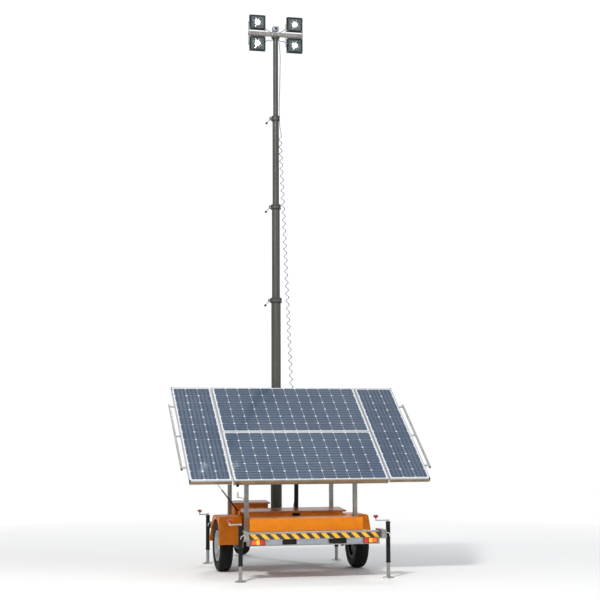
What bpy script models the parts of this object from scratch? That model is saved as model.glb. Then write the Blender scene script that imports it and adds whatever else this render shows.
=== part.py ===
"""Towable solar light tower: a two-wheel trailer with a tilting four-panel solar array,
a five-section telescopic mast and four floodlights, shown deployed.

Lengths are in metres and +Z is up. Inside this script the axle centre is the origin of Y:
+Y runs forwards to the towing hitch, -Y to the rear bumper, +X to the trailer's right.
publish() moves everything so that the origin is on the ground under the middle of the object.
"""

import math

import bmesh
import bpy
from mathutils import Matrix, Vector

# ------------------------------------------------------------------ driving dimensions
REAR_END = -1.404
FRONT_END = 2.750
SHIFT = Vector((0.0, -(REAR_END + FRONT_END) / 2.0, 0.0))

GAP = 0.0005  # between pieces that touch on the real object
SHEET = 0.004  # folded sheet steel

# chassis
RAIL_X = 0.600
RAIL_WIDTH = 0.060
RAIL_LOW = 0.470
RAIL_TOP = 0.550
DECK_TOP = 0.560
CROSS_MEMBER_Y = (-0.200, 0.100)
DRAWBAR_Y = 2.580
MAST_MEMBER_Y = 0.850

# wheels
WHEEL_X = 0.895
TYRE_RADIUS = 0.325
TYRE_HALF_WIDTH = 0.085
BEAD_RADIUS = 0.186
ARCH_RADIUS = 0.345
FENDER_INNER = 0.700
FENDER_OUTER = 1.010
FENDER_TOP = 0.705
FENDER_LOW = 0.360
AXLE_Z = TYRE_RADIUS
SPINDLE_RADIUS = 0.030
WHEEL_FACETS = 28

# boxes
BATTERY_BOX_REAR = -0.320

# bumper and its lamps
BUMPER_HALF = 0.8207
BUMPER_REAR = -1.291
BUMPER_FRONT = -1.175
BUMPER_LOW = 0.411
BUMPER_TOP = 0.568
WINDOW_LOW = 0.424
WINDOW_HIGH = 0.488
LAMP_INNER = 0.612
LAMP_OUTER = 0.790
RECESS_INNER = 0.225
RECESS_OUTER = 0.400

# solar array: local x across, y up the slope from the lower edge, z square to the glass
TILT = math.radians(36.0)
ARRAY_Y = -1.196
ARRAY_Z = 1.194
PANEL_LONG = 1.956
PANEL_SHORT = 0.992
PANEL_DEPTH = 0.040
PANEL_GAP = 0.010
ARRAY_LENGTH = 2 * PANEL_SHORT + PANEL_GAP
WING_INNER = 0.992
WING_WIDTH = 0.525
WING_HINGE_X = 0.985
WING_HINGE_N = -0.042
BEAM_TOP_N = -PANEL_DEPTH - GAP
BEAM_DEPTH = 0.030
BEAM_LOW_N = BEAM_TOP_N - BEAM_DEPTH
PIVOT_S = 0.670
PIVOT_N = -0.095
ACTUATOR_S = 1.480
ACTUATOR_N = -0.100
GRAB_RAIL_X = 1.583

# panel support frame
POST_HALF = 0.025
REAR_POST_X = 0.705
REAR_POST_Y = -0.598
FRONT_POST_X = 0.700
FRONT_POST_Y = 0.567
FRAME_TOP = 1.505
PIN_RADIUS = 0.010

# tilt actuator
ACTUATOR_X = 0.100
ACTUATOR_FOOT = Vector((ACTUATOR_X, 0.100, 0.615))
ACTUATOR_RADIUS = 0.029

# gas stay of the left wing: ball stud on the fender, ball stud under the wing
STAY_FOOT = Vector((-0.745, -0.260, 0.768))
STAY_HEAD_X = -1.280
STAY_HEAD_S = 0.339
STAY_HEAD_N = -0.060
STAY_CLEARANCE = 0.022
STAY_RADIUS = 0.011

# mast
MAST_Y = 0.850
MAST_RADII = (0.076, 0.065, 0.055, 0.045, 0.035)
COLLAR_Z = (2.310, 3.597, 4.905, 6.161, 7.310)
STAGE_OVERLAP = 0.420
WALL = 0.005
GROOVES = 6
GROOVE_DEPTH = 0.004

# lamp head
BAR_Z = 7.360
BAR_HALF_LENGTH = 0.388
LAMP_X = 0.268
LAMP_RISE = 0.152
LAMP_HALF_WIDTH = 0.1130
LAMP_HALF_HEIGHT = 0.1030
YOKE_CLEARANCE = 0.0048

# jacks: side sign, y, tube top, crank direction in degrees from +X
JACKS = {
    "rear_left": (-1, -1.320, 0.662, 200.0),
    "rear_right": (1, -1.320, 0.680, 180.0),
    "front_left": (-1, 1.076, 0.650, 215.0),
    "front_right": (1, 1.076, 0.650, 180.0),
}
JACK_X = {"rear": 0.920, "front": 0.907}
JACK_PIVOT_Z = 0.530
JACK_TUBE_RADIUS = 0.027
JACK_LEG_RADIUS = 0.0215
FOOT_RADIUS = 0.070

# jockey wheel
JOCKEY_X = -0.168
JOCKEY_Y = 2.200
JOCKEY_WHEEL_X = -0.214
JOCKEY_WHEEL_RADIUS = 0.118


# ------------------------------------------------------------------ solid helpers
def clear_scene():
    for old in list(bpy.data.objects):
        bpy.data.objects.remove(old, do_unlink=True)


def solid_from(bm):
    """A new object holding the bmesh, with its faces turned outwards."""
    bmesh.ops.recalc_face_normals(bm, faces=bm.faces)
    mesh = bpy.data.meshes.new("solid")
    bm.to_mesh(mesh)
    bm.free()
    solid = bpy.data.objects.new("solid", mesh)
    bpy.context.scene.collection.objects.link(solid)
    return solid


def hexahedron(lower, upper):
    """A solid between two four-cornered faces listed in the same turning order."""
    bm = bmesh.new()
    low = [bm.verts.new(p) for p in lower]
    high = [bm.verts.new(p) for p in upper]
    bm.faces.new(low)
    bm.faces.new(high)
    for i in range(4):
        k = (i + 1) % 4
        bm.faces.new((low[i], low[k], high[k], high[i]))
    return solid_from(bm)


def rectangle(x0, x1, y0, y1, z):
    return [(x0, y0, z), (x1, y0, z), (x1, y1, z), (x0, y1, z)]


def box(x0, x1, y0, y1, z0, z1):
    return hexahedron(rectangle(x0, x1, y0, y1, z0), rectangle(x0, x1, y0, y1, z1))


def beam(start, end, width, depth):
    """A bar from start to end, width measured level and depth square to it."""
    start = Vector(start)
    end = Vector(end)
    along = (end - start).normalized()
    across = along.cross(Vector((0.0, 0.0, 1.0))).normalized()
    up = across.cross(along)
    faces = []
    for point in (start, end):
        corners = []
        for a, b in ((-1, -1), (1, -1), (1, 1), (-1, 1)):
            corners.append(point + across * (a * width / 2) + up * (b * depth / 2))
        faces.append(corners)
    return hexahedron(faces[0], faces[1])


def prism(outline_yz, x0, x1):
    """An outline of (y, z) points drawn out along X."""
    bm = bmesh.new()
    near = [bm.verts.new((x0, y, z)) for y, z in outline_yz]
    far = [bm.verts.new((x1, y, z)) for y, z in outline_yz]
    bm.faces.new(near)
    bm.faces.new(far)
    count = len(outline_yz)
    for i in range(count):
        k = (i + 1) % count
        bm.faces.new((near[i], near[k], far[k], far[i]))
    return solid_from(bm)


def axis_frame(axis):
    """A rotation that turns +Z onto the axis."""
    return Vector((0.0, 0.0, 1.0)).rotation_difference(Vector(axis)).to_matrix().to_4x4()


def lathe(profile, origin, axis, segments=24):
    """A solid of revolution. The profile is (radius, height) points; ends at radius 0 are closed."""
    bm = bmesh.new()
    turn = Matrix.Translation(Vector(origin)) @ axis_frame(axis)
    rings = []
    for radius, height in profile:
        if radius == 0.0:
            rings.append([bm.verts.new(turn @ Vector((0.0, 0.0, height)))])
            continue
        ring = []
        for i in range(segments):
            angle = 2 * math.pi * i / segments
            point = Vector((radius * math.cos(angle), radius * math.sin(angle), height))
            ring.append(bm.verts.new(turn @ point))
        rings.append(ring)
    closed = profile[0][0] > 0.0
    pairs = len(rings) if closed else len(rings) - 1
    for index in range(pairs):
        skin(bm, rings[index], rings[(index + 1) % len(rings)])
    return solid_from(bm)


def skin(bm, ring, other):
    """Faces between two rings of the same length, or between a ring and a single point."""
    count = max(len(ring), len(other))
    for i in range(count):
        k = (i + 1) % count
        if len(ring) == 1:
            bm.faces.new((ring[0], other[i], other[k]))
        elif len(other) == 1:
            bm.faces.new((ring[i], ring[k], other[0]))
        else:
            bm.faces.new((ring[i], ring[k], other[k], other[i]))


def rod(start, end, radius, segments=12):
    start = Vector(start)
    span = Vector(end) - start
    profile = [(0.0, 0.0), (radius, 0.0), (radius, span.length), (0.0, span.length)]
    return lathe(profile, start, span.normalized(), segments)


def combine(base, others, operation):
    """Boolean of base with the others, which are used up."""
    group = bpy.data.collections.new("operands")
    for other in others:
        group.objects.link(other)
    change = base.modifiers.new("combine", "BOOLEAN")
    change.operation = operation
    change.solver = "EXACT"
    change.operand_type = "COLLECTION"
    change.collection = group
    depsgraph = bpy.context.evaluated_depsgraph_get()
    result = bpy.data.meshes.new_from_object(base.evaluated_get(depsgraph))
    base.modifiers.clear()
    base.data = result
    for other in others:
        bpy.data.objects.remove(other, do_unlink=True)
    bpy.data.collections.remove(group)
    return base


def weld(pieces):
    """One body from pieces that overlap, joined in order."""
    base = pieces[0]
    for piece in pieces[1:]:
        combine(base, [piece], "UNION")
    return base


def cut(base, cutters):
    for cutter in cutters:
        combine(base, [cutter], "DIFFERENCE")
    return base


def moved(solid, matrix):
    solid.data.transform(matrix)
    return solid


def array_matrix():
    return Matrix.Translation((0.0, ARRAY_Y, ARRAY_Z)) @ Matrix.Rotation(TILT, 4, "X")


def on_array(point):
    """A point given in array coordinates, in trailer coordinates."""
    return array_matrix() @ Vector(point)


# ------------------------------------------------------------------ materials
def make_material(name, color, roughness, metallic):
    material = bpy.data.materials.new(name)
    material.use_nodes = True
    shader = material.node_tree.nodes["Principled BSDF"]
    shader.inputs["Base Color"].default_value = (*color, 1.0)
    shader.inputs["Roughness"].default_value = roughness
    shader.inputs["Metallic"].default_value = metallic
    return material


MATERIALS = {}


def make_materials():
    table = {
        "galvanised_steel": ((0.56, 0.57, 0.56), 0.45, 1.0),
        "orange_paint": ((0.85, 0.27, 0.01), 0.35, 0.0),
        "black_paint": ((0.02, 0.02, 0.02), 0.40, 0.0),
        "tyre_rubber": ((0.02, 0.02, 0.02), 0.85, 0.0),
        "rim_silver": ((0.62, 0.63, 0.64), 0.35, 1.0),
        "mast_anodised": ((0.10, 0.10, 0.10), 0.40, 1.0),
        "solar_glass": ((0.05, 0.09, 0.18), 0.15, 0.0),
        "bright_steel": ((0.75, 0.75, 0.74), 0.25, 1.0),
        "lens_red": ((0.70, 0.03, 0.02), 0.20, 0.0),
        "lamp_black": ((0.03, 0.03, 0.03), 0.45, 0.0),
        "red_plastic": ((0.35, 0.03, 0.03), 0.40, 0.0),
        "battery_plastic": ((0.06, 0.06, 0.07), 0.60, 0.0),
    }
    for name, (color, roughness, metallic) in table.items():
        MATERIALS[name] = make_material(name, color, roughness, metallic)


def publish(name, solid, material, pivot=(0.0, 0.0, 0.0)):
    """Names the finished piece, puts its origin on its pivot and moves it into place."""
    pivot = Vector(pivot)
    solid.data.transform(Matrix.Translation(-pivot))
    solid.location = pivot + SHIFT
    solid.name = name
    solid.data.name = name
    solid.data.materials.clear()
    solid.data.materials.append(MATERIALS[material])
    solid.data.shade_smooth()
    solid.data.set_sharp_from_angle(angle=math.radians(35.0))
    return solid


# ------------------------------------------------------------------ chassis
def make_chassis():
    half = RAIL_WIDTH / 2
    low, top = RAIL_LOW, RAIL_TOP
    pieces = [box(-RAIL_X - half, RAIL_X + half, BUMPER_FRONT + GAP, -1.085, low, top)]
    for side in (-1, 1):
        x0, x1 = sorted((side * (RAIL_X - half), side * (RAIL_X + half)))
        pieces.append(box(x0, x1, -1.150, 1.115, low + 0.001, top - 0.001))
        hip = (side * RAIL_X, 1.060, (low + top) / 2)
        nose = (side * 0.045, 2.290, (low + top) / 2)
        pieces.append(beam(hip, nose, RAIL_WIDTH, top - low - 0.004))
    for y in CROSS_MEMBER_Y:
        pieces.append(box(-RAIL_X, RAIL_X, y - 0.030, y + 0.030, low + 0.003, top))
    for y, reach in ((REAR_POST_Y, REAR_POST_X), (FRONT_POST_Y, FRONT_POST_X)):
        edge = reach + 0.035
        pieces.append(box(-edge, edge, y - 0.032, y + 0.032, low + 0.003, top))
    pieces.append(box(-RAIL_X, RAIL_X, MAST_MEMBER_Y - 0.140, MAST_MEMBER_Y + 0.140, low + 0.006, top))
    pieces.append(box(-0.720, 0.720, -1.168, -0.8935, top - 0.006, DECK_TOP))
    pieces.append(box(-0.035, 0.035, 2.200, DRAWBAR_Y, low + 0.005, top - 0.005))
    pieces += jack_outriggers()
    pieces += fender_arms()
    pieces += actuator_foot_lugs()
    pieces += jockey_clamp()
    return publish("chassis_frame", weld(pieces), "galvanised_steel")


def jack_outriggers():
    """Square arms at the four corners; each jack turns on its outer face."""
    pieces = [box(-0.886, 0.886, -1.150, -1.090, 0.476, 0.532)]
    for side in (-1, 1):
        outer = side * (JACK_X["rear"] - JACK_TUBE_RADIUS - 0.004)
        x0, x1 = sorted((side * 0.8300, outer))
        pieces.append(box(x0, x1, -1.362, -1.088, 0.478, 0.586))
    outer = JACK_X["front"] - JACK_TUBE_RADIUS - 0.004
    pieces.append(box(-outer, outer, 1.036, 1.112, 0.474, 0.560))
    return pieces


def fender_arms():
    pieces = []
    for y in (-0.200, 0.200):
        reach = FENDER_INNER - GAP
        pieces.append(box(-reach, reach, y - 0.020, y + 0.020, 0.490, 0.530))
    return pieces


def actuator_foot_lugs():
    """Two ears and a pin that carry the lower end of the tilt actuator."""
    x, y, z = ACTUATOR_FOOT
    pieces = []
    for side in (-1, 1):
        x0, x1 = sorted((x + side * 0.022, x + side * 0.030))
        pieces.append(box(x0, x1, y - 0.024, y + 0.024, RAIL_TOP - 0.010, z + 0.020))
    pieces.append(rod((x - 0.034, y, z), (x + 0.034, y, z), 0.008))
    return pieces


def jockey_clamp():
    """A split sleeve beside the drawbar that holds the jockey wheel's tube."""
    sleeve = [(0.0256, 0.0), (0.036, 0.0), (0.036, 0.090), (0.0256, 0.090)]
    arm = box(JOCKEY_X + 0.030, 0.0, JOCKEY_Y - 0.020, JOCKEY_Y + 0.020, 0.470, 0.520)
    return [arm, lathe(sleeve, (JOCKEY_X, JOCKEY_Y, 0.450), (0, 0, 1), 24)]


def make_coupling():
    """Pressed ball-coupling head over the end of the drawbar, with its hand lever closed on top."""
    low, high = RAIL_LOW - 0.005, RAIL_TOP + 0.005
    centre = FRONT_END - 0.055
    body = box(-0.045, 0.045, DRAWBAR_Y - 0.120, centre, low, high)
    nose = rod((0.0, centre, low), (0.0, centre, high), 0.055, 24)
    handle = beam((0.0, centre - 0.040, high + 0.004), (0.0, DRAWBAR_Y - 0.150, high + 0.040), 0.026, 0.012)
    weld([body, nose, handle])
    socket = rod((0.0, centre, low - 0.01), (0.0, centre, low + 0.052), 0.026, 20)
    sleeve = box(-0.036, 0.036, DRAWBAR_Y - 0.140, DRAWBAR_Y + 0.001, low + 0.009, high - 0.009)
    publish("coupling_head", cut(body, [socket, sleeve]), "galvanised_steel")


def make_axle():
    """Rubber-torsion axle: square beam under the rails, trailing arms and stub spindles."""
    beam_y = -0.120
    pieces = [box(-0.690, 0.690, beam_y - 0.035, beam_y + 0.035, 0.375, 0.442)]
    for side in (-1, 1):
        x0, x1 = sorted((side * (RAIL_X - 0.05), side * (RAIL_X + 0.05)))
        pieces.append(box(x0, x1, beam_y - 0.060, beam_y + 0.060, 0.436, RAIL_LOW - GAP))
        x0, x1 = sorted((side * 0.680, side * 0.712))
        arm = [(beam_y - 0.045, 0.455), (beam_y - 0.045, 0.365), (0.0, 0.280)]
        arm += [(0.045, 0.300), (0.040, 0.360), (beam_y + 0.045, 0.455)]
        pieces.append(prism(arm, x0, x1))
        pieces.append(rod((side * 0.700, 0.0, AXLE_Z), (side * 0.930, 0.0, AXLE_Z), SPINDLE_RADIUS, 16))
    publish("axle_beam", weld(pieces), "galvanised_steel")


def make_wheels():
    tread, side_wall = TYRE_RADIUS, TYRE_HALF_WIDTH
    half = [(BEAD_RADIUS, 0.065), (0.240, side_wall - 0.002), (0.280, side_wall), (0.304, 0.077)]
    half += [(0.318, 0.058), (tread, 0.034)]
    tyre = [(r, -w) for r, w in half] + [(r, w) for r, w in reversed(half)]
    barrel = BEAD_RADIUS - GAP
    rim = [
        (0.0305, -0.050), (0.055, -0.050), (0.055, 0.012), (0.170, 0.018), (0.178, -0.074), (0.196, -0.074),
        (0.196, -0.0695), (barrel, -0.0665), (barrel, 0.0665), (0.196, 0.0695), (0.196, 0.074),
        (0.178, 0.074),
        (0.170, 0.026), (0.060, 0.020), (0.052, 0.045), (0.0305, 0.045),
    ]
    for side, word in ((-1, "left"), (1, "right")):
        centre = (side * WHEEL_X, 0.0, AXLE_Z)
        publish(f"{word}_tyre", lathe(tyre, centre, (side, 0, 0), WHEEL_FACETS), "tyre_rubber", centre)
        publish(f"{word}_rim", lathe(rim, centre, (side, 0, 0), WHEEL_FACETS), "rim_silver", centre)


def make_fenders():
    for side, word in ((-1, "left"), (1, "right")):
        outer = fender_block(side, 0.0)
        inner = fender_block(side, SHEET)
        arch = rod((side * 0.950, 0.0, AXLE_Z), (side * 1.100, 0.0, AXLE_Z), ARCH_RADIUS, 40)
        tunnel = rod((side * 0.650, 0.0, 0.300), (side * 0.800, 0.0, 0.300), 0.240, 24)
        cut(outer, [inner, arch, tunnel])
        if side < 0:
            weld([outer] + stay_bracket())
        publish(f"{word}_fender", outer, "orange_paint")


def stay_bracket():
    """Upright plate on the fender's crown with the ball stud that carries the gas stay."""
    x, y, z = STAY_FOOT
    foot = FENDER_TOP - SHEET
    outline = [(-0.150, foot), (-0.165, foot + 0.057), (y - 0.014, z + 0.020)]
    outline += [(y - 0.020, z - 0.014), (-0.225, foot)]
    half_ball = [(0.0, -0.009), (0.0065, -0.0065), (0.009, 0.0), (0.0065, 0.0065), (0.0, 0.009)]
    ball = lathe(half_ball, STAY_FOOT, (1, 0, 0), 12)
    stud = rod((x, y, z), (x + 0.024, y, z), 0.0045, 10)
    return [prism(outline, x + 0.021, x + 0.026), stud, ball]


def fender_block(side, inset):
    """The fender's outer form, or its hollow when an inset is given. Ends slope, the outer side leans in."""
    low = FENDER_LOW - (0.050 if inset else 0.0)
    top = FENDER_TOP - inset
    lean = 0.050 if inset else 0.0
    foot = 0.360 + lean * 0.32 - inset
    crown = 0.240 - inset * 0.8
    inner = side * (FENDER_INNER + inset)
    lower = rectangle(inner, side * (FENDER_OUTER + lean * 0.08 - inset), -foot, foot, low)
    upper = rectangle(inner, side * (0.985 - inset), -crown, crown, top)
    block = hexahedron(lower, upper)
    bm = bmesh.new()
    bm.from_mesh(block.data)
    far = max(side * v.co.x for v in bm.verts if v.co.z > top - 0.001)
    edges = []
    for edge in bm.edges:
        if all(v.co.z > top - 0.001 and side * v.co.x > far - 0.001 for v in edge.verts):
            edges.append(edge)
    bmesh.ops.bevel(bm, geom=edges, offset=0.030 - inset, segments=3, profile=0.5, affect="EDGES")
    bm.to_mesh(block.data)
    bm.free()
    return block


def make_bumper():
    body = box(-BUMPER_HALF, BUMPER_HALF, BUMPER_REAR, BUMPER_FRONT, BUMPER_LOW, BUMPER_TOP)
    hollow = box(
        -BUMPER_HALF + SHEET, BUMPER_HALF - SHEET, BUMPER_REAR + SHEET, BUMPER_FRONT + 0.02,
        BUMPER_LOW + SHEET, BUMPER_TOP - SHEET,
    )
    cutters = [hollow]
    for side in (-1, 1):
        for near, far in ((LAMP_INNER, LAMP_OUTER), (RECESS_INNER, RECESS_OUTER)):
            x0, x1 = sorted((side * near, side * far))
            cutters.append(box(x0, x1, BUMPER_REAR - 0.01, BUMPER_REAR + 0.02, WINDOW_LOW, WINDOW_HIGH))
    publish("rear_bumper", cut(body, cutters), "galvanised_steel")
    for side, word in ((-1, "left"), (1, "right")):
        x0, x1 = sorted((side * (LAMP_INNER + 0.002), side * (LAMP_OUTER - 0.002)))
        lamp = box(x0, x1, BUMPER_REAR - 0.010, BUMPER_REAR + 0.040, WINDOW_LOW + 0.002, WINDOW_HIGH - 0.002)
        publish(f"{word}_tail_light", lamp, "lens_red")


def make_cowl():
    """Folded orange cowl behind the bumper: a wide rear plate and a hood forward between the posts."""
    rear, front, low, top = -0.892, -0.405, RAIL_TOP + GAP, 0.710
    hood = box(-0.660, 0.660, rear, front, low, top - 0.002)
    cut(hood, [box(-0.656, 0.656, rear - 0.01, front + 0.02, low - 0.01, top - 0.006)])
    plate = box(-0.722, 0.722, rear, rear + SHEET, low, top)
    publish("rear_cowl", weld([plate, hood]), "orange_paint")


def open_box(x0, x1, y0, y1, z0, z1):
    inner = box(x0 + SHEET, x1 - SHEET, y0 + SHEET, y1 - SHEET, z0 + SHEET, z1 + 0.02)
    return cut(box(x0, x1, y0, y1, z0, z1), [inner])


def sloping_lid(x0, x1, y0, y1, z_rim, z_near, z_far):
    """A lid whose top falls towards the rear, with a skirt all round."""
    outer = prism([(y0, z_rim), (y0, z_near), (y1, z_far), (y1, z_rim)], x0, x1)
    a, b = y0 + SHEET, y1 - SHEET
    hollow = [(a, z_rim - 0.02), (a, z_near - SHEET), (b, z_far - SHEET), (b, z_rim - 0.02)]
    inner = prism(hollow, x0 + SHEET, x1 - SHEET)
    return cut(outer, [inner])


def make_boxes():
    floor = RAIL_TOP + GAP
    publish("battery_box", open_box(-0.620, 0.620, BATTERY_BOX_REAR, -0.010, floor, 0.755), "orange_paint")
    lid = sloping_lid(-0.660, 0.660, -0.345, 0.015, 0.748, 0.770, 0.794)
    publish("battery_box_lid", lid, "orange_paint", (0.0, 0.013, 0.750))
    publish("battery_bank", make_batteries(), "battery_plastic")
    make_latch()
    publish("control_box", open_box(-0.690, -0.240, 0.270, 0.480, floor, 0.845), "orange_paint")
    lid = sloping_lid(-0.710, -0.218, 0.250, 0.500, 0.832, 0.852, 0.872)
    publish("control_box_lid", lid, "orange_paint", (-0.475, 0.498, 0.834))


def make_latch():
    """Pull latch hanging on the battery box's rear face, hinged along its top edge."""
    y, top = BATTERY_BOX_REAR - 0.0085, 0.728
    barrel = rod((-0.0425, y, top), (0.0425, y, top), 0.007)
    paddle = box(-0.0425, 0.0425, y - 0.005, y + 0.004, 0.677, top)
    publish("lid_latch", weld([barrel, paddle]), "black_paint", (0.0, y, top))


def make_batteries():
    """Six sealed batteries standing on one tray."""
    tray = RAIL_TOP + SHEET + 2 * GAP
    pieces = [box(-0.560, 0.560, -0.290, -0.040, tray, tray + 0.015)]
    pitch = 0.184
    for i in range(6):
        x = (i - 2.5) * pitch
        pieces.append(box(x - 0.084, x + 0.084, -0.285, -0.045, tray + 0.010, 0.740))
    return weld(pieces)


# ------------------------------------------------------------------ panel support and array
def make_support_frame():
    rail_z0, rail_z1 = FRAME_TOP - 0.050, FRAME_TOP
    pieces = []
    for side in (-1, 1):
        x = side * REAR_POST_X
        pieces.append(post(x, REAR_POST_Y, rail_z1 - 0.045))
        x_front = side * FRONT_POST_X
        pieces.append(post(x_front, FRONT_POST_Y, rail_z1))
        side_z = rail_z0 - 0.020
        pieces.append(beam((x, REAR_POST_Y, side_z), (x_front, FRONT_POST_Y, side_z), 0.040, 0.040))
    for reach, y, z0, z1 in (
        (REAR_POST_X, REAR_POST_Y, 1.395, 1.440),
        (FRONT_POST_X, FRONT_POST_Y, rail_z0, rail_z1 - 0.002),
    ):
        pieces.append(box(-reach, reach, y - 0.02, y + 0.02, z0, z1))
    pivot = on_array((0.0, PIVOT_S, PIVOT_N))
    for side in (-1, 1):
        for offset in (-0.019, 0.019):
            x = side * REAR_POST_X + offset
            ear = box(x - 0.005, x + 0.005, pivot.y - 0.017, pivot.y + 0.017, 1.440, pivot.z)
            eye = rod((x - 0.005, pivot.y, pivot.z), (x + 0.005, pivot.y, pivot.z), 0.018, 12)
            pieces.append(weld([ear, eye]))
        x = side * REAR_POST_X
        pieces.append(rod((x - 0.030, pivot.y, pivot.z), (x + 0.030, pivot.y, pivot.z), PIN_RADIUS))
    publish("panel_support_frame", weld(pieces), "galvanised_steel")


def post(x, y, top):
    foot = box(x - 0.034, x + 0.034, y - 0.034, y + 0.034, RAIL_TOP + GAP, RAIL_TOP + 0.008)
    stem = box(x - POST_HALF, x + POST_HALF, y - POST_HALF, y + POST_HALF, RAIL_TOP + 0.004, top)
    return weld([foot, stem])


def make_tilt_frame():
    """Ladder frame under the centre panels, with its two hinge lugs and the actuator's clevis."""
    n0, n1 = BEAM_LOW_N, BEAM_TOP_N
    pieces = []
    for s in (0.020, PIVOT_S, 1.000, 1.970):
        pieces.append(box(-0.955, 0.955, s - 0.018, s + 0.018, n0, n1))
    for side in (-1, 1):
        x0, x1 = sorted((side * 0.600, side * 0.640))
        pieces.append(box(x0, x1, 0.010, ARRAY_LENGTH - 0.010, n0 + 0.001, n1 - 0.001))
        x = side * REAR_POST_X
        lug = box(x - 0.011, x + 0.011, PIVOT_S - 0.020, PIVOT_S + 0.020, PIVOT_N - 0.018, n0 + 0.010)
        hole = rod((x - 0.02, PIVOT_S, PIVOT_N), (x + 0.02, PIVOT_S, PIVOT_N), PIN_RADIUS + 0.0015, 16)
        pieces.append(cut(lug, [hole]))
        x0, x1 = sorted((ACTUATOR_X + side * 0.022, ACTUATOR_X + side * 0.030))
        pieces.append(box(x0, x1, ACTUATOR_S - 0.045, ACTUATOR_S + 0.025, ACTUATOR_N - 0.016, n0 + 0.010))
    pieces.append(box(ACTUATOR_X - 0.040, ACTUATOR_X + 0.040, 1.000, 1.970, n0 + 0.002, n1 - 0.002))
    frame = moved(weld(pieces), array_matrix())
    publish("tilt_frame", frame, "galvanised_steel", on_array((0.0, PIVOT_S, PIVOT_N)))


def framed_panel(x0, x1, s0, s1):
    """Anodised frame with a laminate set just below its top edge and open behind."""
    lip, wall, recess, laminate = 0.011, 0.002, 0.0012, 0.006
    body = box(x0, x1, s0, s1, -PANEL_DEPTH, 0.0)
    cut(body, [box(x0 + lip, x1 - lip, s0 + lip, s1 - lip, -recess, 0.01)])
    back = box(x0 + wall, x1 - wall, s0 + wall, s1 - wall, -PANEL_DEPTH - 0.01, -recess - laminate)
    return cut(body, [back])


def make_panels():
    half = PANEL_LONG / 2
    pivot = on_array((0.0, PIVOT_S, PIVOT_N))
    for word, s0 in (("lower", 0.0), ("upper", PANEL_SHORT + PANEL_GAP)):
        panel = moved(framed_panel(-half, half, s0, s0 + PANEL_SHORT), array_matrix())
        publish(f"{word}_panel", panel, "solar_glass", pivot)
    for side, word in ((-1, "left"), (1, "right")):
        x0, x1 = sorted((side * WING_INNER, side * (WING_INNER + WING_WIDTH)))
        wing = framed_panel(x0, x1, 0.0, ARRAY_LENGTH)
        if side < 0:
            weld([wing] + stay_stud(x0, x1))
        hinge = on_array((side * WING_HINGE_X, 0.0, WING_HINGE_N))
        publish(f"{word}_wing_panel", moved(wing, array_matrix()), "solar_glass", hinge)
        publish(f"{word}_grab_rail", moved(grab_rail(side), array_matrix()), "bright_steel", hinge)


def stay_stud(x0, x1):
    """Cross brace on the wing's back and the ball stud for the top of the gas stay."""
    x, s, n = STAY_HEAD_X, STAY_HEAD_S, STAY_HEAD_N
    brace = box(x0 + 0.001, x1 - 0.001, s - 0.015, s + 0.015, -PANEL_DEPTH + 0.001, -PANEL_DEPTH + 0.009)
    stud = rod((x, s, n), (x, s, -PANEL_DEPTH + 0.004), 0.0045, 10)
    half_ball = [(0.0, -0.008), (0.006, -0.006), (0.008, 0.0), (0.006, 0.006), (0.0, 0.008)]
    ball = lathe(half_ball, (x, s, n), (0, 0, 1), 12)
    return [brace, stud, ball]


def grab_rail(side):
    edge = WING_INNER + WING_WIDTH + GAP
    s0, s1 = 0.240, 1.600
    x, n = side * GRAB_RAIL_X, -0.012
    pieces = [rod((x, s0, n), (x, s1, n), 0.015)]
    for s in (s0 + 0.035, (s0 + s1) / 2, s1 - 0.035):
        x0, x1 = sorted((side * edge, side * GRAB_RAIL_X))
        pieces.append(box(x0, x1, s - 0.015, s + 0.015, n - 0.004, n + 0.004))
    return weld(pieces)


def make_actuator():
    """Tilt actuator: foot eye, gearmotor and outer tube below, polished rod above.

    The rod's top eye sits between the tilt frame's lugs without a pin: that pivot is left open.
    """
    head = on_array((ACTUATOR_X, ACTUATOR_S, ACTUATOR_N))
    reach = (head - ACTUATOR_FOOT).length
    place = Matrix.Translation(ACTUATOR_FOOT) @ axis_frame((head - ACTUATOR_FOOT).normalized())
    eye = rod((-0.020, 0.0, 0.0), (0.020, 0.0, 0.0), 0.019, 20)
    neck = rod((0.0, 0.0, 0.0), (0.0, 0.0, 0.060), 0.016)
    motor = box(-0.078, 0.032, -0.036, 0.036, 0.042, 0.118)
    radius = ACTUATOR_RADIUS
    outer = [(0.0, 0.110), (radius, 0.110), (radius, 0.840), (0.0145, 0.840), (0.0145, 0.150)]
    tube = lathe(outer + [(0.0, 0.150)], (0, 0, 0), (0, 0, 1), 18)
    body = weld([eye, neck, motor, tube])
    cut(body, [rod((-0.03, 0.0, 0.0), (0.03, 0.0, 0.0), 0.0095, 16)])
    publish("tilt_actuator_body", moved(body, place), "black_paint", ACTUATOR_FOOT)
    shaft = rod((0.0, 0.0, 0.650), (0.0, 0.0, reach - 0.008), 0.0135, 16)
    ring = rod((-0.018, 0.0, reach), (0.018, 0.0, reach), 0.017, 20)
    bar = cut(weld([shaft, ring]), [rod((-0.03, 0.0, reach), (0.03, 0.0, reach), 0.009, 16)])
    publish("tilt_actuator_rod", moved(bar, place), "bright_steel", ACTUATOR_FOOT)


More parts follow.
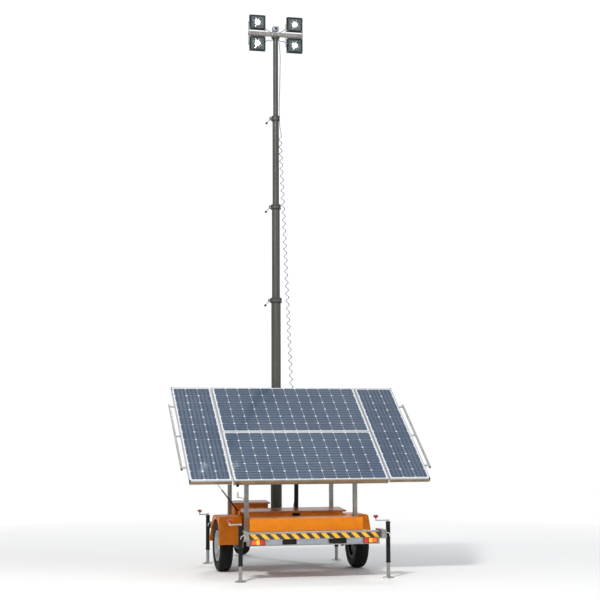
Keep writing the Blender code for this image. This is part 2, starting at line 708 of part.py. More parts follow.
def make_wing_stay():
    """Gas stay on the fender's ball stud; its rod stops just short of the wing's ball stud."""
    head = on_array((STAY_HEAD_X, STAY_HEAD_S, STAY_HEAD_N))
    along = (head - STAY_FOOT).normalized()
    reach = (head - STAY_FOOT).length - STAY_CLEARANCE
    outline = [
        (0.0, 0.0105), (0.007, 0.0105), (0.007, 0.030), (STAY_RADIUS, 0.034), (STAY_RADIUS, 0.240),
        (0.008, 0.244),
        (0.008, 0.500), (0.0052, 0.500), (0.0052, 0.046), (0.0, 0.046),
    ]
    publish("wing_stay_tube", lathe(outline, STAY_FOOT, along, 16), "black_paint", STAY_FOOT)
    outline = [
        (0.0, 0.470), (0.0045, 0.470), (0.0045, reach - 0.028), (0.007, reach - 0.026), (0.007, reach),
        (0.0, reach),
    ]
    publish("wing_stay_rod", lathe(outline, STAY_FOOT, along, 14), "bright_steel", STAY_FOOT)


# ------------------------------------------------------------------ mast and lamps
def mast_tube(outer, bore, collar_bore, z_low, collar):
    """A grooved tube with its locking collar on top, bored through for the next section."""
    collar_radius = outer + 0.014
    levels = [
        (outer, z_low, True), (outer, collar - 0.046, True), (collar_radius, collar - 0.042, False),
        (collar_radius, collar + 0.022, False), (collar_radius - 0.006, collar + 0.028, False),
        (collar_bore, collar + 0.028, False), (collar_bore, collar - 0.040, False),
        (bore, collar - 0.045, False),
        (bore, z_low, False),
    ]
    bm = bmesh.new()
    rings = []
    for radius, z, grooved in levels:
        ring = []
        for angle, sunk in groove_pattern():
            r = radius - GROOVE_DEPTH if grooved and sunk else radius
            ring.append(bm.verts.new((r * math.cos(angle), MAST_Y + r * math.sin(angle), z)))
        rings.append(ring)
    for index, ring in enumerate(rings):
        skin(bm, ring, rings[(index + 1) % len(rings)])
    return solid_from(bm)


def groove_pattern():
    """Angles round the tube, with the two points of each groove floor marked."""
    pitch = 2 * math.pi / GROOVES
    points = []
    for i in range(GROOVES):
        start = (i - 0.25) * pitch
        for fraction, sunk in ((0.00, False), (0.03, True), (0.17, True), (0.20, False), (0.60, False)):
            points.append((start + fraction * pitch, sunk))
    return points


def collar_ears(outer, collar):
    """Clamp ears on the collar's left side, where the lock lever is pinned."""
    x0, x1 = -outer - 0.040, -outer - 0.006
    y = MAST_Y
    ears = [box(x0, x1, y - 0.022, y - 0.0085, collar - 0.030, collar + 0.012)]
    ears.append(box(x0, x1, y + 0.0085, y + 0.022, collar - 0.030, collar + 0.012))
    return ears


def lock_lever(outer, collar):
    """Lever on a cross barrel, its arm hanging out and down to a ball knob."""
    pivot = Vector((-outer - 0.028, MAST_Y, collar - 0.009))
    tip = pivot + Vector((-0.058, 0.0, -0.070))
    barrel = rod(pivot + Vector((0, -0.0075, 0)), pivot + Vector((0, 0.0075, 0)), 0.009)
    arm = rod(pivot, tip, 0.0045, 10)
    half_knob = [(0.0, -0.013), (0.010, -0.009), (0.013, 0.0), (0.010, 0.009), (0.0, 0.013)]
    knob = lathe(half_knob, tip, (0, 0, 1), 12)
    return weld([barrel, arm, knob]), pivot


def make_mast():
    for index in range(4):
        outer = MAST_RADII[index]
        inner = MAST_RADII[index + 1]
        z_low = RAIL_TOP + 0.005 if index == 0 else COLLAR_Z[index - 1] - STAGE_OVERLAP
        solid = mast_tube(outer, outer - WALL, inner + GAP, z_low, COLLAR_Z[index])
        pieces = [solid] + collar_ears(outer, COLLAR_Z[index])
        if index == 0:
            pieces.append(mast_foot())
        name = "mast_base" if index == 0 else f"mast_stage_{index}"
        publish(name, weld(pieces), "mast_anodised", (0.0, MAST_Y, z_low))
        lever, pivot = lock_lever(outer, COLLAR_Z[index])
        publish(f"mast_lock_{index + 1}", lever, "bright_steel", pivot)
    make_top_stage()


def mast_foot():
    """Base plate and four gussets that stand on the chassis."""
    y, low = MAST_Y, RAIL_TOP + GAP
    plate = [box(-0.130, 0.130, y - 0.130, y + 0.130, low, low + 0.012)]
    reach, height, z = 0.120, 0.130, low + 0.006
    start = MAST_RADII[0] - 0.003
    for side in (-1, 1):
        corners = [(y + side * start, z), (y + side * reach, z), (y + side * start, z + height)]
        plate.append(prism(corners, -0.005, 0.005))
    return weld(plate)


def make_top_stage():
    outer = MAST_RADII[4]
    z_low, top = COLLAR_Z[3] - STAGE_OVERLAP, COLLAR_Z[4]
    bm = bmesh.new()
    rings = []
    for z in (z_low, top):
        ring = []
        for angle, sunk in groove_pattern():
            r = outer - GROOVE_DEPTH if sunk else outer
            ring.append(bm.verts.new((r * math.cos(angle), MAST_Y + r * math.sin(angle), z)))
        rings.append(ring)
    skin(bm, rings[0], rings[1])
    bm.faces.new(rings[0])
    bm.faces.new(rings[1])
    tube = solid_from(bm)
    cut(tube, [rod((0, MAST_Y, z_low - 0.01), (0, MAST_Y, top - 0.02), outer - 0.009, 16)])
    flange = rod((0, MAST_Y, top - 0.006), (0, MAST_Y, BAR_Z - 0.025 - GAP), 0.058, 20)
    publish("mast_stage_4", weld([tube, flange]), "mast_anodised", (0.0, MAST_Y, z_low))


def make_lamp_head():
    half = 0.025
    reach = BAR_HALF_LENGTH
    pieces = [box(-reach, reach, MAST_Y - half, MAST_Y + half, BAR_Z - half, BAR_Z + half)]
    for side in (-1, 1):
        for level in (-1, 1):
            pieces += lamp_yoke(side * LAMP_X, level)
    publish("lamp_crossbar", weld(pieces), "galvanised_steel", (0.0, MAST_Y, BAR_Z))
    for level, height in ((1, "upper"), (-1, "lower")):
        for side, word in ((-1, "left"), (1, "right")):
            pivot = (side * LAMP_X, MAST_Y, BAR_Z + level * LAMP_RISE)
            publish(f"floodlight_{height}_{word}", floodlight(pivot), "lamp_black", pivot)


def lamp_yoke(x, level):
    """U bracket on the crossbar that holds one floodlight by its sides."""
    inner = LAMP_HALF_WIDTH + YOKE_CLEARANCE
    outer = inner + 0.004
    near, far = BAR_Z + level * 0.023, BAR_Z + level * 0.029
    tip = BAR_Z + level * (LAMP_RISE + 0.016)
    z0, z1 = sorted((near, far))
    pieces = [box(x - outer, x + outer, MAST_Y - 0.014, MAST_Y + 0.014, z0, z1)]
    z0, z1 = sorted((near, tip))
    for side in (-1, 1):
        x0, x1 = sorted((x + side * inner, x + side * outer))
        pieces.append(box(x0, x1, MAST_Y - 0.012, MAST_Y + 0.012, z0, z1))
    return pieces


def floodlight(pivot):
    """Square LED head: a shallow case facing the rear with cooling fins behind."""
    x, y, z = pivot
    w, h = LAMP_HALF_WIDTH, LAMP_HALF_HEIGHT
    pieces = [box(x - w, x + w, y - 0.045, y - 0.006, z - h, z + h)]
    pieces.append(box(x - w + 0.006, x + w - 0.006, y - 0.010, y + 0.008, z - h + 0.012, z + h - 0.012))
    fins = 7
    for i in range(fins):
        fin_x = x + (i - (fins - 1) / 2) * 0.026
        pieces.append(box(fin_x - 0.002, fin_x + 0.002, y, y + 0.030, z - h + 0.016, z + h - 0.016))
    for side in (-1, 1):
        tip = x + side * (w + YOKE_CLEARANCE - GAP)
        pieces.append(rod((x + side * (w - 0.020), y, z), (tip, y, z), 0.008))
    return weld(pieces)


# ------------------------------------------------------------------ stands
def make_jacks():
    for name, (side, y, top, crank_angle) in JACKS.items():
        x = side * JACK_X[name.split("_")[0]]
        pivot = (x, y, JACK_PIVOT_Z)
        publish(f"jack_tube_{name}", jack_tube(x, y, top, side), "black_paint", pivot)
        publish(f"jack_leg_{name}", jack_leg(x, y), "galvanised_steel", (x, y, 0.0))
        publish(f"jack_crank_{name}", jack_crank(x, y, top, crank_angle), "bright_steel", (x, y, top))


def jack_tube(x, y, top, side):
    """Outer tube with a closed top, and the round boss that turns on the outrigger."""
    low, radius, bore = 0.185, JACK_TUBE_RADIUS, JACK_LEG_RADIUS + 0.0015
    profile = [(0.0, top), (radius, top), (radius, low)]
    profile += [(bore, low), (bore, top - 0.020), (0.0, top - 0.020)]
    tube = lathe(profile, (x, y, 0.0), (0, 0, 1), 16)
    inner = x - side * (JACK_TUBE_RADIUS + 0.004 - GAP)
    boss = rod((x - side * 0.0245, y, JACK_PIVOT_Z), (inner, y, JACK_PIVOT_Z), 0.036, 16)
    return weld([tube, boss])


def jack_leg(x, y):
    profile = [
        (0.0, 0.0), (FOOT_RADIUS, 0.0), (FOOT_RADIUS, 0.006), (0.034, 0.014), (JACK_LEG_RADIUS, 0.030),
        (JACK_LEG_RADIUS, 0.380), (0.0, 0.380),
    ]
    return lathe(profile, (x, y, 0.0), (0, 0, 1), 16)


def jack_crank(x, y, top, crank_angle):
    """Hub on the tube's top, a level arm and a mushroom knob standing on its end."""
    low = top + GAP
    reach = Vector((math.cos(math.radians(crank_angle)), math.sin(math.radians(crank_angle)), 0.0)) * 0.155
    start = Vector((x, y, low + 0.014))
    end = start + reach
    hub = rod((x, y, low), (x, y, low + 0.024), 0.014)
    arm = rod(start, end + reach.normalized() * 0.004, 0.008, 10)
    half_knob = [(0.0, -0.006), (0.0085, -0.006), (0.0085, 0.026), (0.014, 0.030)]
    half_knob += [(0.030, 0.048), (0.031, 0.056), (0.018, 0.064), (0.0, 0.066)]
    return weld([hub, arm, lathe(half_knob, end, (0, 0, 1), 12)])


def make_jockey():
    """Jockey wheel: clamped tube with a winding handle, swivelling fork and wheel."""
    x, y = JOCKEY_X, JOCKEY_Y
    tube_profile = [(0.0, 0.800), (0.025, 0.800), (0.025, 0.285)]
    tube_profile += [(0.0168, 0.285), (0.0168, 0.460), (0.0, 0.460)]
    tube = lathe(tube_profile, (x, y, 0.0), (0, 0, 1), 20)
    arm = rod((x, y, 0.812), (x - 0.110, y, 0.830), 0.006, 10)
    neck = rod((x, y, 0.790), (x, y, 0.822), 0.010)
    grip = rod((x - 0.106, y, 0.820), (x - 0.106, y, 0.900), 0.011)
    publish("jockey_tube", weld([tube, neck, arm, grip]), "galvanised_steel", (x, y, 0.500))
    wheel_z = JOCKEY_WHEEL_RADIUS
    pieces = [rod((x, y, 0.245), (x, y, 0.445), 0.016, 16)]
    pieces.append(box(JOCKEY_WHEEL_X - 0.022, x + 0.022, y - 0.040, y + 0.040, 0.246, 0.262))
    for side in (-1, 1):
        y0, y1 = sorted((y + side * 0.033, y + side * 0.038))
        pieces.append(box(JOCKEY_WHEEL_X - 0.018, JOCKEY_WHEEL_X + 0.018, y0, y1, wheel_z - 0.018, 0.255))
    pieces.append(rod((JOCKEY_WHEEL_X, y - 0.044, wheel_z), (JOCKEY_WHEEL_X, y + 0.044, wheel_z), 0.008))
    publish("jockey_fork", weld(pieces), "galvanised_steel", (x, y, 0.262))
    radius = JOCKEY_WHEEL_RADIUS
    half = [(0.009, 0.030), (0.022, 0.030), (0.024, 0.014)]
    half += [(0.078, 0.014), (0.082, 0.024), (radius - 0.010, 0.026)]
    half.append((radius, 0.016))
    profile = [(r, -w) for r, w in half] + [(r, w) for r, w in reversed(half)]
    centre = (JOCKEY_WHEEL_X, y, wheel_z)
    publish("jockey_wheel", lathe(profile, centre, (0, 1, 0), 20), "tyre_rubber", centre)


def main():
    clear_scene()
    make_materials()
    make_chassis()
    make_coupling()
    make_axle()
    make_wheels()
    make_fenders()
    make_bumper()
    make_cowl()
    make_boxes()
    make_support_frame()
    make_tilt_frame()
    make_panels()
    make_actuator()
    make_wing_stay()
    make_mast()
    make_lamp_head()
    make_jacks()
    make_jockey()


main()
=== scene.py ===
"""The looks of the solar light tower trailer: finishes, solar cells, lamps, tape, cables and fittings.

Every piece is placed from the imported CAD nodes. Lengths are in metres, +Z is up, the rear faces -Y.
"""

import math

import bmesh
import bpy
from mathutils import Matrix, Vector


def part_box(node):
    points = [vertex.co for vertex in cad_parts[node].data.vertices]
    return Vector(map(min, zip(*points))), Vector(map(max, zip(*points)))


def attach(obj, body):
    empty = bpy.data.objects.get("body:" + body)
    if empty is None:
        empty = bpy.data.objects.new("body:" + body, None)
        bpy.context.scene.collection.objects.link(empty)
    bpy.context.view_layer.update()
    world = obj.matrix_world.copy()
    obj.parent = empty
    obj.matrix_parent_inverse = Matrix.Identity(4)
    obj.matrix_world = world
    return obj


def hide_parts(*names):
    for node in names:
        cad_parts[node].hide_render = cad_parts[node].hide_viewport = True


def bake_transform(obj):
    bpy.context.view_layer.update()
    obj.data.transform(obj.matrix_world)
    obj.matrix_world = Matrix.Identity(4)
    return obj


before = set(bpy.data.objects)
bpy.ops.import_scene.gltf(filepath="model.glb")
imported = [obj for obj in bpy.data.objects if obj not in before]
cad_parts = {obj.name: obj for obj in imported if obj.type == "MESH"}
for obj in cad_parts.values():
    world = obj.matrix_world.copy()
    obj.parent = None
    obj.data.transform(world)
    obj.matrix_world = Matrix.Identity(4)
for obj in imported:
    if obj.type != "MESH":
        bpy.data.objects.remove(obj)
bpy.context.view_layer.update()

# -------------------- driving dimensions
SIDES = ((-1, "left"), (1, "right"))
UP = (0, 0, 1)
REARWARD = (0, -1, 0)
TILT = math.radians(36.0)
SLOPE = Vector((0.0, math.cos(TILT), math.sin(TILT)))  # up the array
NORMAL = Vector((0.0, -math.sin(TILT), math.cos(TILT)))  # out of its glass
PANEL_DEPTH = 0.040
SHEET_LEVEL = -0.0008  # backing sheet, just above the laminate
CELL_LEVEL = -0.0004
CELL_SIZE = 0.156
CELL_CORNER = 0.014
CELL_JOINT = 0.0005

STRIPE_COUNT = 13
ARCH_LIP = 0.344
CROWN_X = 0.985
CROWN_Z = 0.705
# the rims get painted shade inward of this distance from the middle
RIM_SHADE_X = 0.862
TREAD_BLOCKS = 46
LINK_RADIUS = 0.010
LINK_WIRE = 0.003
TUBE_RADII = (0.076, 0.065, 0.055, 0.045)
LAMP_PIN = 0.0043  # how far a floodlight's side pins stand out
COIL_PITCH = 0.105
COIL_RADIUS = 0.020
CABLE_RADIUS = 0.0055


# -------------------- placing
def low(node):
    return Vector(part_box(node)[0])


def high(node):
    return Vector(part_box(node)[1])


def middle(node):
    return (low(node) + high(node)) / 2.0


def array_point(x, s, n):
    """A point of the solar array: x across, s up the slope from the lower edge, n square to the glass."""
    corner = low("lower_panel")
    origin = Vector((0.0, corner.y, corner.z + PANEL_DEPTH * math.cos(TILT)))
    return origin + Vector((x, 0.0, 0.0)) + SLOPE * s + NORMAL * n


# -------------------- material helpers
def feed(tree, made, inputs):
    """Links sockets and sets plain values on a node's inputs, given by name or number."""
    for key, value in inputs.items():
        if isinstance(value, bpy.types.NodeSocket):
            tree.links.new(value, made.inputs[key])
        else:
            made.inputs[key].default_value = value


def node(tree, kind, inputs):
    made = tree.nodes.new(kind)
    feed(tree, made, inputs)
    return made


def mix(tree, factor, a, b, blend="MIX"):
    """Colour mix of a and b by the factor."""
    made = tree.nodes.new("ShaderNodeMix")
    made.data_type = "RGBA"
    made.blend_type = blend
    feed(tree, made, {0: factor, 6: a, 7: b})
    return made.outputs[2]


def math_node(tree, operation, a, b=0.0):
    made = node(tree, "ShaderNodeMath", {0: a, 1: b})
    made.operation = operation
    return made.outputs[0]


def remap(tree, value, from_low, from_high, to_low, to_high):
    inputs = {0: value, 1: from_low, 2: from_high, 3: to_low, 4: to_high}
    return node(tree, "ShaderNodeMapRange", inputs).outputs[0]


def rgba(color):
    return (color[0], color[1], color[2], 1.0)


def vector_math(tree, operation, inputs):
    made = node(tree, "ShaderNodeVectorMath", inputs)
    made.operation = operation
    return made


def object_place(tree):
    return tree.nodes.new("ShaderNodeTexCoord").outputs["Object"]


def axis_of(tree, vector, index):
    """One of the three parts of a vector."""
    return node(tree, "ShaderNodeSeparateXYZ", {0: vector}).outputs[index]


def stretched(tree, scale):
    """Object coordinates multiplied by three scales."""
    return vector_math(tree, "MULTIPLY", {0: object_place(tree), 1: scale}).outputs[0]


def noise(tree, scale, detail=4.0):
    inputs = {"Vector": stretched(tree, scale), "Scale": 1.0, "Detail": detail}
    return node(tree, "ShaderNodeTexNoise", inputs).outputs[0]


def bump_of(tree, height, strength, distance):
    inputs = {"Strength": strength, "Distance": distance, "Height": height}
    return node(tree, "ShaderNodeBump", inputs).outputs[0]


def edge_mask(tree, radius):
    """Near 1 on sharp edges, 0 on flats."""
    rounded = node(tree, "ShaderNodeBevel", {"Radius": radius})
    rounded.samples = 4
    plain = tree.nodes.new("ShaderNodeNewGeometry").outputs["Normal"]
    likeness = vector_math(tree, "DOT_PRODUCT", {0: rounded.outputs[0], 1: plain}).outputs["Value"]
    return remap(tree, likeness, 0.98, 0.80, 0.0, 1.0)


def new_material():
    material = bpy.data.materials.new("finish")
    material.use_nodes = True
    return material


def shader_of(material):
    tree = material.node_tree
    return tree, tree.nodes["Principled BSDF"]


def recolour(shader, tree, change):
    """Puts a change between the shader's present base colour and the shader."""
    color = shader.inputs["Base Color"]
    feed(tree, shader, {"Base Color": change(color.links[0].from_socket)})


def surface(color, second, rough, metal=0.0, grain=(9.0, 9.0, 9.0), bump=0.0008, bump_scale=180.0,
            wear=None, wear_amount=0.6, dust=0.0, coat=0.0, gloss=0.5):
    """A finish that drifts between two colours, with varied gloss, fine relief, worn edges and low dust."""
    material = new_material()
    tree, shader = shader_of(material)
    drift = remap(tree, noise(tree, grain, 6.0), 0.35, 0.65, 0.0, 1.0)
    tint = mix(tree, drift, rgba(color), rgba(second))
    fine = noise(tree, (bump_scale,) * 3, 3.0)
    if dust > 0.0:
        depth = remap(tree, axis_of(tree, object_place(tree), 2), 0.0, 0.75, dust, dust * 0.12)
        cloud = remap(tree, noise(tree, (14, 14, 14)), 0.3, 0.7, 0.3, 1.0)
        patch = math_node(tree, "MULTIPLY", depth, cloud)
        tint = mix(tree, patch, tint, rgba((0.36, 0.30, 0.23)))
    if wear is not None:
        chips = remap(tree, noise(tree, (55, 55, 55), 5.0), 0.45, 0.60, 0.0, wear_amount)
        tint = mix(tree, math_node(tree, "MULTIPLY", edge_mask(tree, 0.0025), chips), tint, rgba(wear))
    haze = remap(tree, noise(tree, (21, 21, 21), 5.0), 0.3, 0.7, rough - 0.07, rough + 0.09)
    feed(tree, shader, {
        "Base Color": tint,
        "Roughness": haze,
        "Metallic": metal,
        "Specular IOR Level": gloss,
        "Coat Weight": coat,
        "Coat Roughness": 0.12,
        "Normal": bump_of(tree, fine, 0.35, bump),
    })
    return material


def galvanised():
    """Zinc coating: angular crystals in slightly different greys."""
    material = surface((0.34, 0.335, 0.32), (0.43, 0.42, 0.39), 0.40, 0.60,
                       bump=0.0006, wear=(0.60, 0.60, 0.58), wear_amount=0.4, dust=0.22)
    tree, shader = shader_of(material)
    crystals = node(tree, "ShaderNodeTexVoronoi", {"Vector": stretched(tree, (75, 75, 75)), "Scale": 1.0})
    grey = node(tree, "ShaderNodeSeparateColor", {0: crystals.outputs["Color"]}).outputs[0]
    shade = remap(tree, grey, 0.0, 1.0, 0.62, 1.0)
    dark = node(tree, "ShaderNodeCombineColor", {0: shade, 1: shade, 2: shade}).outputs[0]
    recolour(shader, tree, lambda color: mix(tree, 0.8, color, dark, "MULTIPLY"))
    return material


def cell_material():
    """Silicon cell: slate blue with fine fingers, three busbars and a tone of its own; glass over it."""
    material = new_material()
    tree, shader = shader_of(material)
    across = axis_of(tree, uv_map(tree, "cell"), 1)
    own = axis_of(tree, uv_map(tree, "tone"), 0)
    tone = mix(tree, own, rgba((0.045, 0.085, 0.160)), rgba((0.060, 0.105, 0.190)))
    cloud = remap(tree, noise(tree, (1.1, 1.1, 1.1), 2.0), 0.35, 0.65, 0.0, 0.55)
    tone = mix(tree, cloud, tone, rgba((0.100, 0.150, 0.220)))
    wave = math_node(tree, "PINGPONG", math_node(tree, "MULTIPLY", across, 3.0), 0.5)
    shadow = remap(tree, wave, 0.315, 0.345, 0.0, 0.92)
    bars = remap(tree, wave, 0.474, 0.486, 0.0, 0.80)
    fingers = math_node(tree, "PINGPONG", math_node(tree, "MULTIPLY", across, 60.0), 0.5)
    tone = mix(tree, remap(tree, fingers, 0.36, 0.5, 0.0, 0.10), tone, rgba((0.30, 0.34, 0.40)))
    tone = mix(tree, shadow, tone, rgba((0.006, 0.011, 0.022)))
    tone = mix(tree, bars, tone, rgba((0.32, 0.36, 0.42)))
    film = remap(tree, noise(tree, (6, 6, 6), 6.0), 0.35, 0.7, 0.13, 0.30)
    feed(tree, shader, {"Base Color": tone, "Roughness": film, "Coat Weight": 0.9, "Coat Roughness": 0.07})
    return material


def uv_map(tree, name):
    made = tree.nodes.new("ShaderNodeUVMap")
    made.uv_map = name
    return made.outputs[0]


def lens_material(color, glow=0.0):
    """Moulded lens: ribbed and glossy, with a glow of its own."""
    darker = tuple(c * 0.75 for c in color)
    material = surface(color, darker, 0.16, bump=0.0015, bump_scale=90.0, coat=0.6)
    tree, shader = shader_of(material)
    ribs = node(tree, "ShaderNodeTexWave", {"Vector": stretched(tree, (90, 90, 90)), "Scale": 1.0})
    relief = bump_of(tree, ribs.outputs[1], 0.6, 0.002)
    feed(tree, shader, {"Normal": relief, "Emission Color": rgba(color), "Emission Strength": glow})
    return material


def paint_rim_inner_shade(material, limit):
    """Makes the wheels' inner halves near black as painted shade, as seen between the rails."""
    tree, shader = shader_of(material)
    across = axis_of(tree, object_place(tree), 0)
    inner = remap(tree, math_node(tree, "ABSOLUTE", across), limit - 0.004, limit + 0.004, 1.0, 0.0)
    recolour(shader, tree, lambda color: mix(tree, inner, color, rgba((0.008, 0.008, 0.008))))
    feed(tree, shader, {"Metallic": remap(tree, inner, 0.0, 1.0, 0.6, 0.0)})


def make_materials():
    """Every finish by name."""
    finishes = {
        "zinc": galvanised(),
        "cell": cell_material(),
        "orange": surface((0.86, 0.235, 0.001), (0.74, 0.18, 0.001), 0.38, wear=(0.30, 0.16, 0.08),
                          dust=0.06, coat=0.10, gloss=0.25),
        # A lighter copy of the orange paint: painted light on the rear cowl, its rivets and its edge roll
        "orange_painted_lit": surface((0.90, 0.265, 0.001), (0.82, 0.225, 0.001), 0.36, coat=0.12,
                                 gloss=0.25, wear=(0.40, 0.20, 0.1), dust=0.08),
        # A darker copy of the orange paint: painted shade on the box lids under the array
        "orange_painted_shade": surface((0.62, 0.15, 0.002), (0.50, 0.12, 0.002), 0.24, coat=0.6,
                               wear=(0.28, 0.14, 0.06), dust=0.10),
        "black": surface((0.003, 0.003, 0.003), (0.007, 0.007, 0.007), 0.38, gloss=0.22,
                         wear=(0.16, 0.15, 0.14), dust=0.02),
        "rubber": surface((0.003, 0.003, 0.003), (0.008, 0.0078, 0.0075), 0.62, gloss=0.16,
                          bump=0.002, bump_scale=90.0, dust=0.02),
        "rim": surface((0.58, 0.59, 0.60), (0.50, 0.51, 0.52), 0.34, 0.6, dust=0.20,
                       wear=(0.3, 0.28, 0.25)),
        "mast": surface((0.072, 0.073, 0.066), (0.100, 0.100, 0.090), 0.50, 0.20, gloss=0.20,
                        grain=(60, 60, 1.2), bump=0.0004, wear=(0.20, 0.20, 0.18)),
        "collar": surface((0.018, 0.018, 0.018), (0.045, 0.044, 0.042), 0.45, 0.3, gloss=0.3,
                          bump=0.001, wear=(0.22, 0.22, 0.22)),
        "lever": surface((0.30, 0.31, 0.035), (0.20, 0.21, 0.030), 0.45, gloss=0.3, bump=0.001,
                         wear=(0.2, 0.2, 0.15)),
        "frame": surface((0.62, 0.63, 0.66), (0.54, 0.55, 0.58), 0.33, 0.45, grain=(2, 40, 40),
                         bump=0.0004, wear=(0.9, 0.9, 0.9), dust=0.05),
        "backing": surface((0.80, 0.82, 0.84), (0.72, 0.75, 0.79), 0.20, coat=0.8, bump=0.0002),
        "bright": surface((0.50, 0.50, 0.49), (0.40, 0.40, 0.39), 0.40, 0.30, bump=0.0004, gloss=0.3),
        "lamp": surface((0.008, 0.010, 0.016), (0.018, 0.020, 0.028), 0.50, gloss=0.25,
                        bump=0.0015, wear=(0.20, 0.20, 0.20)),
        "battery": surface((0.030, 0.030, 0.034), (0.055, 0.055, 0.06), 0.6, bump=0.002),
        "red_knob": surface((0.42, 0.015, 0.012), (0.30, 0.012, 0.010), 0.30, coat=0.4),
        "white": surface((0.80, 0.80, 0.78), (0.70, 0.70, 0.68), 0.40),
        "cable": surface((0.20, 0.20, 0.195), (0.15, 0.15, 0.145), 0.55, gloss=0.2, bump=0.001),
        "black_cable": surface((0.010, 0.010, 0.010), (0.02, 0.02, 0.02), 0.5, gloss=0.2, bump=0.001),
        "yellow_tape": surface((1.0, 0.50, 0.004), (0.92, 0.44, 0.004), 0.30, bump=0.001,
                               bump_scale=400.0, dust=0.12, coat=0.4),
        "black_tape": surface((0.012, 0.012, 0.012), (0.022, 0.022, 0.022), 0.28, dust=0.12, coat=0.4),
        "grey_plate": surface((0.36, 0.39, 0.43), (0.30, 0.33, 0.37), 0.36, 0.4, dust=0.08),
        # Brownish tan of the lower edge channels: weathered aluminium, and partly painted shade
        "weathered_rail_painted_shade": surface((0.30, 0.20, 0.115), (0.22, 0.15, 0.09), 0.40, 0.35, bump=0.0006,
                             wear=(0.5, 0.45, 0.4)),
        "red": lens_material((0.70, 0.02, 0.012)),
        "amber": lens_material((0.95, 0.16, 0.003), 0.15),
        "yellow": lens_material((1.0, 0.45, 0.02), 0.8),
        "mirror": surface((0.88, 0.88, 0.86), (0.78, 0.78, 0.76), 0.12, 1.0),
        "led": lens_material((0.93, 0.97, 1.0), 30.0),
        "halo": surface((0.10, 0.13, 0.13), (0.16, 0.19, 0.19), 0.30, 0.6, bump=0.001),
    }
    # painted shade on the inner halves of the rims
    paint_rim_inner_shade(finishes["rim"], RIM_SHADE_X)
    for name, material in finishes.items():
        material.name = name
    return finishes


LOOK = make_materials()


# -------------------- mesh helpers
def add_object(name, data):
    made = bpy.data.objects.new(name, data)
    bpy.context.scene.collection.objects.link(made)
    return made


def finished_mesh(name, bm, finish):
    bmesh.ops.recalc_face_normals(bm, faces=bm.faces)
    mesh = bpy.data.meshes.new(name)
    bm.to_mesh(mesh)
    bm.free()
    mesh.materials.append(LOOK[finish])
    return mesh


def mesh_piece(name, bm, finish, body="chassis", smooth=True):
    """A piece that rides on a body, in the given finish."""
    mesh = finished_mesh(name, bm, finish)
    piece = add_object(name, mesh)
    if smooth:
        mesh.shade_smooth()
        mesh.set_sharp_from_angle(angle=math.radians(35.0))
    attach(piece, body)
    return piece


def circle(count):
    """Cosine and sine of evenly spaced angles."""
    angles = [2 * math.pi * i / count for i in range(count)]
    return [(math.cos(angle), math.sin(angle)) for angle in angles]


def bridge(bm, rings, closed=False):
    """Faces between each ring of points and the next; a closed run joins the last to the first."""
    following = rings[1:] + rings[:1] if closed else rings[1:]
    for near, far in zip(rings, following):
        for k in range(len(near)):
            j = (k + 1) % len(near)
            bm.faces.new((near[k], near[j], far[j], far[k]))


def close_ends(bm, rings):
    bm.faces.new(rings[0])
    bm.faces.new(rings[-1])


def turned(name, profile, origin, axis, finish, body="chassis", segments=24):
    """A piece that is one turned shape."""
    bm = bmesh.new()
    add_turned(bm, profile, origin, axis, segments)
    mesh_piece(name, bm, finish, body)


def add_block(bm, corner_a, corner_b, bevel=0.0, turn=None):
    """An upright box between two corners, optionally with rounded edges and turned in place."""
    a, b = Vector(corner_a), Vector(corner_b)
    size = Vector([abs(b[i] - a[i]) for i in range(3)])
    place = Matrix.Translation((a + b) / 2.0)
    if turn is not None:
        place = place @ turn
    made = bmesh.ops.create_cube(bm, size=1.0, matrix=place @ Matrix.Diagonal((*size, 1.0)))
    if bevel > 0.0:
        edges = {e for v in made["verts"] for e in v.link_edges}
        bmesh.ops.bevel(bm, geom=list(edges), offset=bevel, segments=2, profile=0.5, affect="EDGES")


def add_turned(bm, profile, origin, axis, segments=24):
    """A turned shape from (radius, height) points, open where the profile is open."""
    turn = Vector((0, 0, 1)).rotation_difference(Vector(axis)).to_matrix().to_4x4()
    place = Matrix.Translation(Vector(origin)) @ turn
    rings = []
    for radius, height in profile:
        points = [Vector((radius * c, radius * s, height)) for c, s in circle(segments)]
        rings.append([bm.verts.new(place @ point) for point in points])
    bridge(bm, rings)
    close_ends(bm, rings)


def block(name, corner_a, corner_b, finish, body="chassis", bevel=0.0015):
    bm = bmesh.new()
    add_block(bm, corner_a, corner_b, bevel)
    mesh_piece(name, bm, finish, body)


def array_block(name, spans, finish, body, bevel=0.001):
    """Boxes given as (x0, x1, s0, s1, n0, n1) in array coordinates."""
    bm = bmesh.new()
    slope = Matrix.Rotation(TILT, 4, "X")
    for x0, x1, s0, s1, n0, n1 in spans:
        centre = array_point((x0 + x1) / 2, (s0 + s1) / 2, (n0 + n1) / 2)
        half = Vector((abs(x1 - x0), abs(s1 - s0), abs(n1 - n0))) / 2
        add_block(bm, centre - half, centre + half, bevel, slope)
    mesh_piece(name, bm, finish, body)


def bolts(name, spots, direction, radius, body="chassis"):
    """Hexagon heads on washers at the given spots."""
    bm = bmesh.new()
    washer = [(radius * 1.6, 0.0), (radius * 1.6, radius * 0.25)]
    head = [(radius, 0.0), (radius, radius * 0.8), (radius * 0.8, radius)]
    for spot in spots:
        add_turned(bm, washer, spot, direction, 16)
        lift = Vector(spot) + Vector(direction).normalized() * radius * 0.25
        add_turned(bm, head, lift, direction, 6)
    mesh_piece(name, bm, "bright", body)


